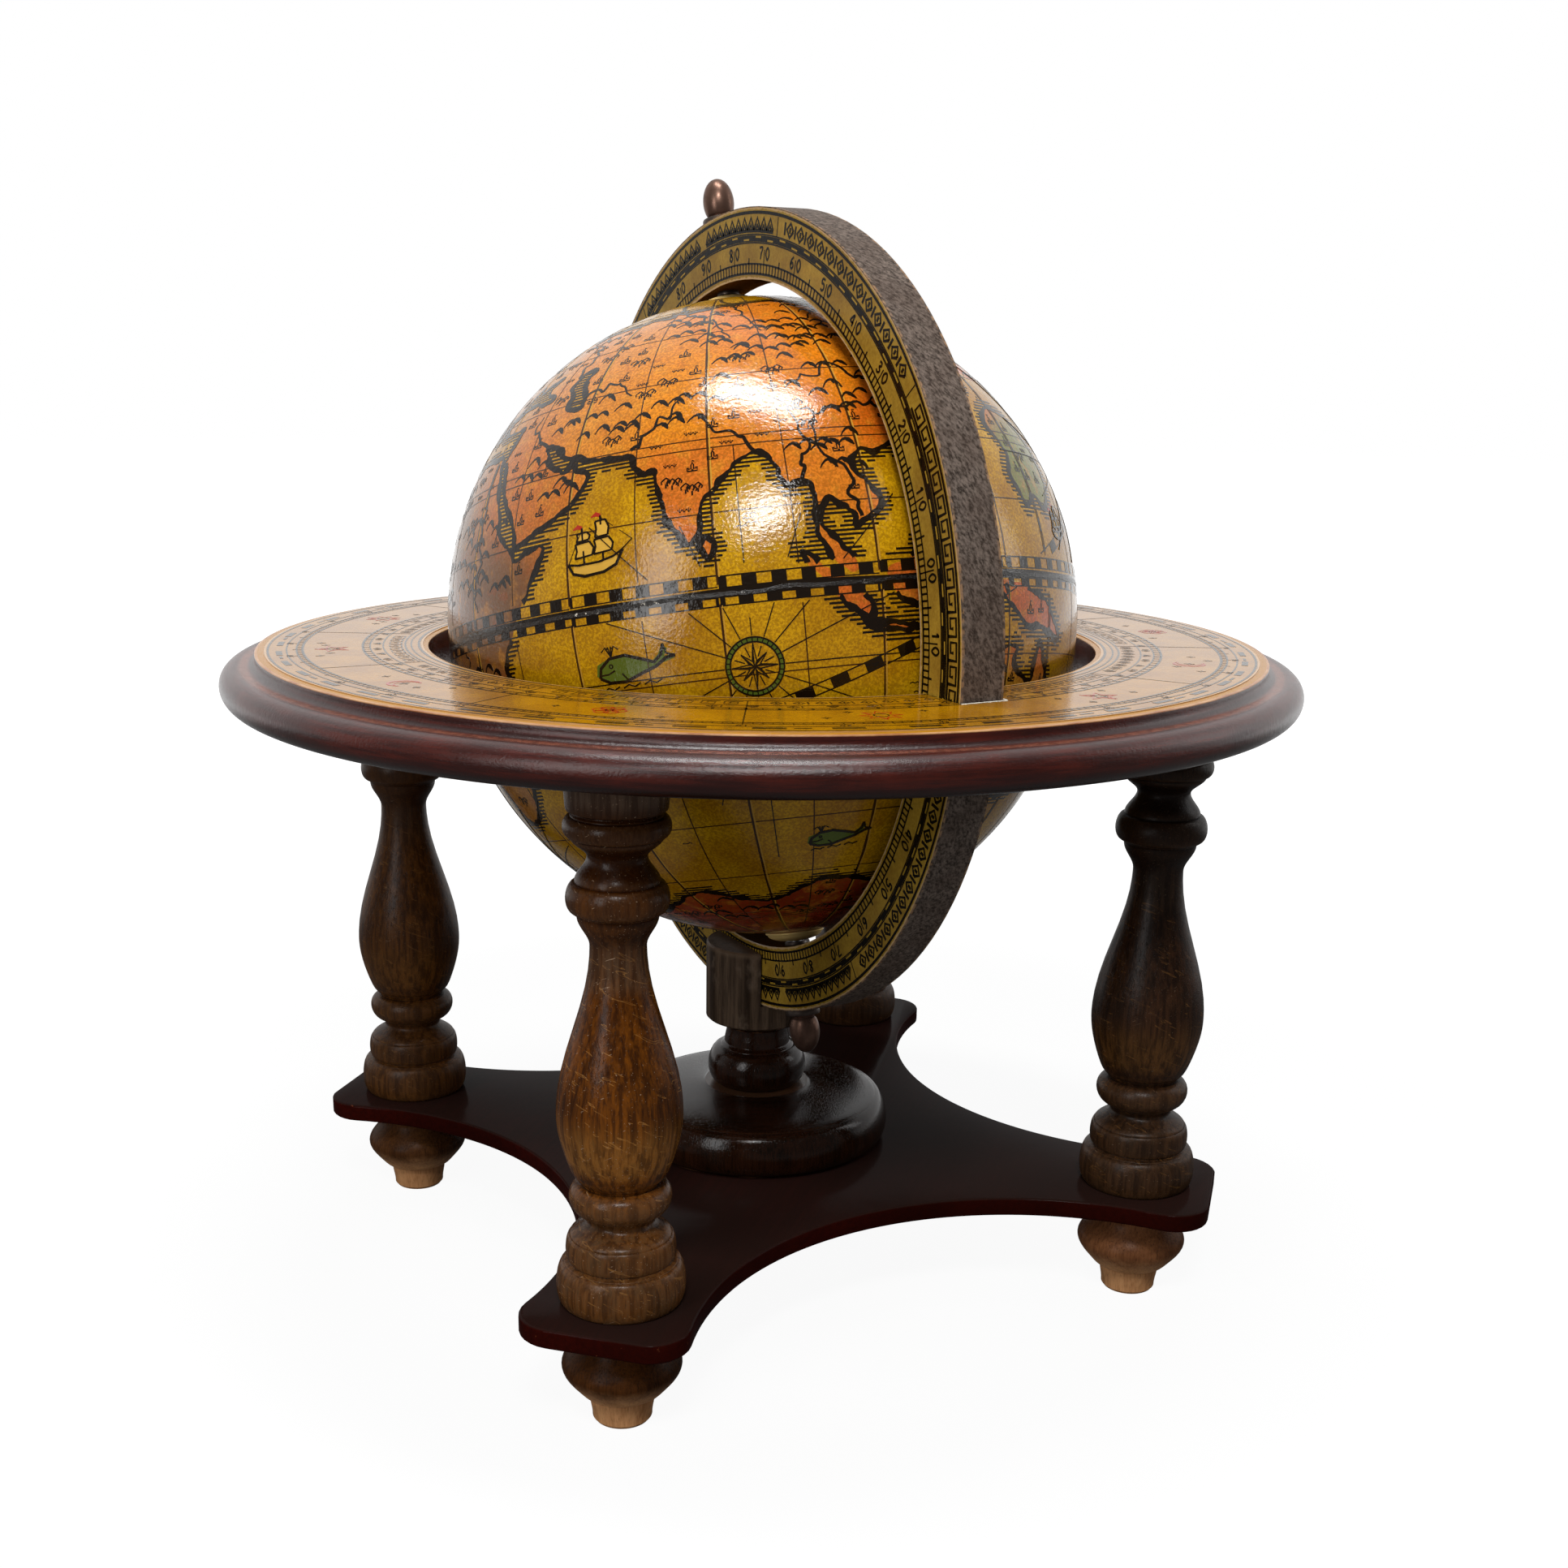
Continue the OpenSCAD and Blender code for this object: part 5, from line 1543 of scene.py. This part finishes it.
class Dial:
    """A flat printed ring: places on it are an angle in degrees and a radius in mm."""

    def __init__(self, centre, zero, quarter, up):
        self.centre, self.zero, self.quarter, self.up = (np.array(v) for v in (centre, zero, quarter, up))

    def at(self, angles, radii):
        a = np.radians(np.asarray(angles, float))
        r = np.broadcast_to(radii, a.shape) * MM
        along_zero, along_quarter = (r * np.cos(a))[..., None], (r * np.sin(a))[..., None]
        return self.centre + along_zero * self.zero + along_quarter * self.quarter

    def circle(self, ink, radius, width, rise=None):
        ink.stroke(self.at(np.arange(0, 360, 1.25), radius), self.up, width, closed=True, rise=rise)

    def radial(self, ink, angle, inner, outer, width):
        ink.stroke(self.at([angle, angle], [inner, outer]), self.up, width)

    def dash(self, ink, start, end, radius, width, rise=None):
        count = max(2, math.ceil(abs(end - start) / 1.5) + 1)
        ink.stroke(self.at(np.linspace(start, end, count), radius), self.up, width, rise=rise)

    def draw(self, ink, angle, radius, points, width, closed=False, flip=1):
        """A small figure in mm, x along the ring and y outwards, round one place on it."""
        p = np.asarray(points, float)
        ink.stroke(self.at(angle + flip * np.degrees(p[:, 0] / radius), radius + p[:, 1]), self.up, width,
                   closed)


DIGITS = {
    "0": [(0.5, 1), (0.12, 0.78), (0.05, 0.4), (0.5, 0), (0.95, 0.4), (0.88, 0.78)],
    "1": [(0.2, 0.72), (0.5, 1), (0.5, 0.5), (0.5, 0)],
    "2": [(0.08, 0.75), (0.4, 1), (0.85, 0.75), (0.5, 0.35), (0.05, 0.02), (0.95, 0.04)],
    "3": [(0.1, 0.92), (0.6, 1), (0.75, 0.72), (0.4, 0.55), (0.88, 0.3), (0.5, 0), (0.05, 0.1)],
    "4": [(0.72, 0), (0.7, 0.5), (0.7, 1), (0.05, 0.32), (0.95, 0.34)],
    "5": [(0.9, 1), (0.25, 0.96), (0.2, 0.58), (0.7, 0.6), (0.88, 0.28), (0.5, 0), (0.08, 0.08)],
    "6": [(0.8, 1), (0.25, 0.65), (0.12, 0.22), (0.5, 0), (0.88, 0.28), (0.5, 0.52), (0.16, 0.3)],
    "7": [(0.05, 0.96), (0.92, 0.98), (0.55, 0.45), (0.4, 0)],
    "8": [(0.5, 0.52), (0.16, 0.78), (0.5, 1), (0.84, 0.78), (0.5, 0.52), (0.08, 0.22), (0.5, 0),
         (0.92, 0.22), (0.52, 0.5)],
    "9": [(0.86, 0.66), (0.45, 0.46), (0.12, 0.76), (0.5, 1), (0.88, 0.78), (0.76, 0.35), (0.3, 0)]}


def draw_number(dial, ink, number, angle, radius, height, flip=1, split=0.5):
    """A two-figure number, its figures on either side of the degree mark."""
    figures = f"{number:02d}" if number else "00"
    wide = height * 0.62
    for k, figure in enumerate(figures):
        left = -wide - split if k == 0 else split
        points = [(left + x * wide, y * height) for x, y in DIGITS[figure]]
        dial.draw(ink, angle, radius, smooth_path(points, closed=figure == "0"), 0.2 * height,
                  closed=figure == "0", flip=flip)


# Border figures, in units along and across the border
KEY = [[(0, 0), (0, 1), (1.15, 1), (1.15, 0.3), (0.5, 0.3), (0.5, 0.66)], [(0, 0), (1.55, 0)]]
LOZENGE = [[(0, 0.5), (0.48, 1), (0.96, 0.5), (0.48, 0), (0, 0.5)], [(0.48, 0.3), (0.48, 0.7)],
           [(1.24, 0.05), (1.24, 0.95)]]
TEETH = [[(0, 0.1), (0.5, 0.95), (1.0, 0.1)], [(0.28, 0.1), (0.5, 0.45), (0.72, 0.1)],
         [(0, 0.02), (1.0, 0.02)]]
ZONE_EDGES = (-POLAR_CIRCLE, -TROPIC, TROPIC, POLAR_CIRCLE)


def zone_figure(latitude):
    """The border figure of a climate zone, and how many degrees each takes."""
    if abs(latitude) < TROPIC:
        return KEY, 3.05
    return (LOZENGE, 3.0) if abs(latitude) < POLAR_CIRCLE else (TEETH, 1.95)


# Radius and width in mm of the circles printed on each ring
MERIDIAN_CIRCLES = ((123.6, 0.9), (117.4, 0.4), (115.0, 0.4), (109.0, 0.55), (106.2, 0.7), (116.2, 1.8))
HORIZON_CIRCLES = ((155.0, 0.7), (149.4, 0.5), (146.4, 0.6), (144.6, 0.8), (126.4, 0.8), (124.2, 0.5),
                   (120.2, 0.5), (113.4, 0.6), (111.6, 0.5), (109.2, 0.8))

# Radii in mm of what is printed between the circles
MERIDIAN_SCALE_R, MERIDIAN_NUMBER_R, CHAIN_R, ZONE_BORDER_R = 106.2, 110.4, 116.25, 118.3
BAR_R, TEN_R, DEGREE_R, SIGN_R = 151.7, 147.9, 144.6, 135.5
INNER_SCALE_R, FINE_BORDER_R, KEY_BORDER_R, SIGNS_FROM_R = 124.2, 121.0, 114.6, 113.4
CHAIN_LINKS = 96


def draw_meridian_face(dial, dark, light, flip):
    """Circles, a chain of dashes, a scale of degrees with numbers, and a border that changes by zone."""
    for radius, width in MERIDIAN_CIRCLES:
        dial.circle(dark, radius, width)
    for i in range(CHAIN_LINKS):
        start = 360 / CHAIN_LINKS * i
        aside = 0.42 if i % 2 else -0.42
        dial.dash(light, start, start + 1.7, CHAIN_R + aside, 0.5, rise=INK_RISE * 1.8)
    for degree in range(360):
        latitude = abs((degree + 90) % 180 - 90)
        if latitude % 10 == 0:
            dial.radial(dark, degree, MERIDIAN_SCALE_R, 113.2, 0.45)
            draw_number(dial, dark, latitude, degree, MERIDIAN_NUMBER_R, 3.4, flip, split=0.95)
        else:
            dial.radial(dark, degree, MERIDIAN_SCALE_R, 110.6 if latitude % 5 == 0 else 109.0, 0.6)
    for quarter in (0, 180):
        for edge in ZONE_EDGES:
            dial.radial(dark, quarter + edge, 117.4, 123.0, 0.42)
        for low, high in zip((-90,) + ZONE_EDGES, ZONE_EDGES + (90,)):
            figure, pitch = zone_figure((low + high) / 2)
            count = int((high - low - 1.6) / pitch)
            start = quarter + (low + high) / 2 - count * pitch / 2
            for k in range(count):
                for line in figure:
                    dial.draw(dark, start + (k + 0.1) * pitch, ZONE_BORDER_R, sized(line, 4.1, 4.0), 0.95)


def ring_paper(name, centre, axes, inner, outer, gold, brown, edge, coat=0.4, coat_ior=1.34):
    """Printed paper on a ring, toned darker and rubbed along both edges."""
    paint = Finish(name, roughness=0.45, coat=coat, coat_roughness=0.12, coat_ior=coat_ior)
    here = paint.moved(at=centre)
    radius = paint.from_axis(here, axes)
    grain = paint.noise(0.8, roughness=0.65)
    cloud = paint.noise(14, detail=4, roughness=0.6)
    colour = paint.mix(paint.step(cloud), gold, brown)
    colour = paint.mix(paint.times(paint.step(grain, 0.35, 0.65), 0.28), colour, (92, 56, 12))
    ragged = paint.times(paint.less(paint.noise(1.6), 0.5), 1.4 * MM)
    rim = paint.plus(radius, ragged)
    rubbed = paint.calc('MAXIMUM', paint.step(rim, (outer - 0.7) * MM, (outer - 0.3) * MM),
                        paint.step(rim, (inner + 0.7) * MM, (inner + 0.3) * MM))
    paint.set("Base Color", paint.mix(paint.times(rubbed, 0.8), colour, edge))
    paint.set("Roughness", paint.step(grain, 0.3, 0.7, 0.4, 0.55))
    varnish(paint, ripple=0.6, depth=0.035)
    return paint.material


def rim_fibre():
    """Grey-brown fibrous paper round the ring."""
    paint = Finish("rim_fibre_paper", roughness=0.6, coat=0.25, coat_roughness=0.35)
    strand = paint.noise(0.8, detail=4, roughness=0.7, turn=(0.5, 0.3, 0.9), stretch=(1, 3.6, 1))
    second = paint.noise(1.0, detail=4, roughness=0.7, turn=(-0.7, 1.2, 0.2), stretch=(3.6, 1, 1))
    cloud = paint.noise(9)
    both = paint.plus(paint.times(strand, 0.5), paint.times(second, 0.5))
    colour = paint.mix(paint.step(both, 0.38, 0.62), (50, 43, 38), (120, 107, 98))
    colour = paint.mix(paint.times(paint.step(cloud), 0.35), colour, (74, 60, 52))
    side = paint.calc('ABSOLUTE', paint.parts()[0])
    rubbed = paint.times(paint.step(side, 5.9 * MM, 6.5 * MM), paint.step(paint.noise(1.5), 0.42, 0.6))
    colour = paint.mix(paint.times(rubbed, 0.55), colour, (176, 138, 102))
    return paint.finished(colour, both, (0.5, 0.7), both, 0.12, (0.35, 0.65))


def dress(node, material):
    """Gives a CAD solid that keeps its shape its finish."""
    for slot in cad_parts[node].material_slots:
        slot.material = material


def dress_inner_parts():
    """Solids that show only between the other parts: axle, studs, dowels, shells and hubs."""
    steel = metal("bright_steel", (176, 174, 170), (110, 106, 100), 0.3)
    for node in ("axle_rod", "leg_studs", "pedestal_screw"):
        dress(node, steel)
    pale = Finish("bare_beech", roughness=0.6)
    colour, fibre, pore = add_grain(pale, pale.place, Vector((9, 34, 0)) * MM, (206, 160, 112),
                                    (158, 112, 70), pores=0.4)
    pale.finished(colour, fibre, (0.52, 0.66), pale.less(fibre, pore), 0.05)
    for node in ("ring_dowels", "pole_hub_north", "pole_hub_south"):
        dress(node, pale.material)
    card = Finish("grey_card", roughness=0.85)
    pulp = card.noise(1.1, detail=4, roughness=0.7)
    colour = card.mix(card.step(pulp, 0.36, 0.64), (150, 136, 112), (112, 98, 78))
    colour = card.mix(card.step(card.noise(0.5, detail=1), 0.68, 0.72), colour, (72, 60, 46))
    card.finished(colour, pulp, (0.78, 0.92), pulp, 0.08)
    for node in ("globe_north_half", "globe_south_half", "joining_band"):
        dress(node, card.material)


def make_meridian():
    dark_ink = ink_finish("ring_ink", (16, 11, 6), coat=0.4, coat_ior=1.34)
    paper_ink = ink_finish("ring_gap", (166, 132, 44), coat=0.4, coat_ior=1.34)
    for node, side in (("left", -1), ("right", 1)):
        dress(f"meridian_print_{node}", ring_paper(
            f"meridian_paper_{node}", GLOBE_AT, "YZ", MERIDIAN_IN / MM, MERIDIAN_OUT / MM,
            (176, 142, 50), (146, 114, 40), (196, 164, 118)))
        dial = Dial(GLOBE_AT + Vector((side * MERIDIAN_FACE, 0, 0)), NEAR_EQUATOR, POLE, (side, 0, 0))
        dark, light = Ink(), Ink()
        draw_meridian_face(dial, dark, light, flip=-1 if side < 0 else 1)
        dark.piece(f"meridian_scale_{node}", dark_ink, "meridian", "meridian_paper")
        light.piece(f"meridian_chain_{node}", paper_ink, "meridian", "meridian_paper")
    dress("meridian_rim_band", rim_fibre())
    core = Finish("ring_core_wood", roughness=0.55)
    colour, fibre, _ = add_grain(core, core.place, Vector((0, 300, 0)) * MM, (104, 72, 34), (58, 38, 18))
    core.set("Base Color", colour)
    core.bump(fibre, 0.06)
    dress("meridian_ring", core.material)


def star_points(tips, outer, inner):
    return [((outer if k % 2 == 0 else inner) * math.sin(math.pi * k / tips),
             (outer if k % 2 == 0 else inner) * math.cos(math.pi * k / tips)) for k in range(2 * tips + 1)]


def sector_figure(dial, red, dark, angle, kind):
    """A plain sign in one twelfth of the ring: sun, star, moon or flower."""
    r = SIGN_R
    if kind == 0:
        dial.draw(red, angle, r, sized(star_points(8, 2.4, 1.2), 2.4), 0.6)
        dial.draw(dark, angle, r, arc(2.0, 0, 360, 17), 0.45)
    elif kind == 1:
        dial.draw(red, angle, r, star_points(5, 5.4, 2.2), 0.7)
        dial.draw(dark, angle, r, star_points(5, 2.6, 1.1), 0.4)
    elif kind == 2:
        dial.draw(red, angle, r, arc(4.6, 60, 300, 21), [0.3] * 3 + [0.9] * 15 + [0.3] * 3)
        dial.draw(red, angle, r, arc(3.8, 75, 285, 17, (1.4, 0)), 0.4)
        dial.draw(dark, angle, r, star_points(4, 1.5, 0.5), 0.35)
    else:
        for k in range(6):
            c = (2.7 * math.cos(math.tau * k / 6), 2.7 * math.sin(math.tau * k / 6))
            dial.draw(red, angle, r, arc(1.9, 0, 360, 13, c), 0.5)
        dial.draw(dark, angle, r, arc(1.1, 0, 360, 11), 0.45)
    for k in range(5):
        x = -14 + 7 * k + 1.5 * math.sin(angle + k * 2.1)
        y = 5.4 * math.cos(angle * 0.3 + k * 1.9)
        if abs(x) > 6.5:
            dial.draw(dark, angle, r, [(x + px, y + py) for px, py in star_points(4, 1.3, 0.4)], 0.32)


def off_notch(angle):
    """Whether a mark keeps clear of the notch that the meridian ring passes through."""
    return abs((angle + 90) % 180 - 90) > 4.4


def draw_horizon(dial, dark, red):
    """Circles, scales with numbers, borders, and a plain sign in every twelfth of the ring."""
    for radius, width in HORIZON_CIRCLES:
        dial.circle(dark, radius, width)
    for k in range(48):
        start = 7.5 * k
        dial.dash(dark, start + 1.0, start + 4.2, BAR_R, 1.9)
        if k % 2 == 0:
            dial.dash(dark, start + 4.9, start + 6.6, BAR_R, 0.9)
    for degree in range(360):
        dial.radial(dark, degree, DEGREE_R, 146.4 if degree % 5 else 147.6, 0.32)
        if degree % 2 == 0 and off_notch(degree - 90):
            dial.radial(dark, degree, INNER_SCALE_R, 126.4, 0.8 if degree % 4 == 0 else 0.3)
    for k in range(36):
        if k % 9:
            draw_number(dial, dark, 10 * (k % 3) + 10, 10 * k, TEN_R, 1.8, flip=-1, split=0.3)
    for k in range(72):
        angle = 5 * k
        if off_notch(angle - 90):
            for line in LOZENGE if k % 2 else TEETH:
                dial.draw(dark, angle, FINE_BORDER_R, sized(line, 3.2, 2.3), 0.45)
    for k in range(12):
        angle = 30 * k
        if k % 6 != 3:
            dial.radial(dark, angle, SIGNS_FROM_R, DEGREE_R, 0.4)
        sector_figure(dial, red, dark, angle + 15, k % 4)
        for j in range(9):
            tick = angle + 3 + 3 * j
            for line in KEY if k % 2 else LOZENGE:
                dial.draw(dark, tick, KEY_BORDER_R, sized(line, 3.1, 3.6), 0.5)


def make_horizon_print():
    print_in, print_out = HORIZON_IN / MM + 1.8, FACE_R / MM - 3
    dress("horizon_print", ring_paper("horizon_print_paper", (0, 0, 0), "XY", print_in, print_out,
                                      (176, 122, 4), (152, 100, 4), (196, 150, 92), coat=1.0, coat_ior=1.42))
    dial = Dial((0, 0, PRINT_TOP), (1, 0, 0), (0, 1, 0), (0, 0, 1))
    dark, red, torn = Ink(), Ink(), Ink()
    draw_horizon(dial, dark, red)
    half, end = SLOT_W / 2, SLOT_R
    rough = [(x, -end - 0.45 * MM + 0.25 * MM * waver(x * 900)) for x in np.linspace(-half, half, 24)]
    rough += [(half + 0.4 * MM + 0.2 * MM * waver(y * 900, 5, 0), y)
              for y in np.linspace(-end + 0.6 * MM, -end + 5 * MM, 8)]
    points = np.array([(x, y, PRINT_TOP) for x, y in rough])
    width = [0.7 + 0.6 * abs(waver(k * 0.7, 3, 1)) for k in range(len(points))]
    torn.stroke(points, (0, 0, 1), width, rise=0.12 * MM)
    dark.piece("horizon_scales", ink_finish("horizon_ink", (36, 22, 6), coat_ior=1.42), "stand",
               "horizon_paper")
    red.piece("horizon_figures", ink_finish("horizon_red", (160, 34, 12), coat_ior=1.42), "stand",
              "horizon_paper")
    chipped = Finish("torn_white_paper", roughness=0.9)
    chipped.set("Base Color", chipped.mix(chipped.noise(0.8), (236, 232, 222), (206, 196, 176)))
    chipped.bump(chipped.noise(0.6), 0.2)
    torn.piece("torn_edge", chipped.material, "stand", "horizon_paper")


set_camera()
set_light()
make_floor()
make_legs_and_feet()
make_board()
make_pedestal()
make_horizon()
make_pole_fittings()
make_map()
make_joint()
dress_inner_parts()
make_meridian()
make_horizon_print()
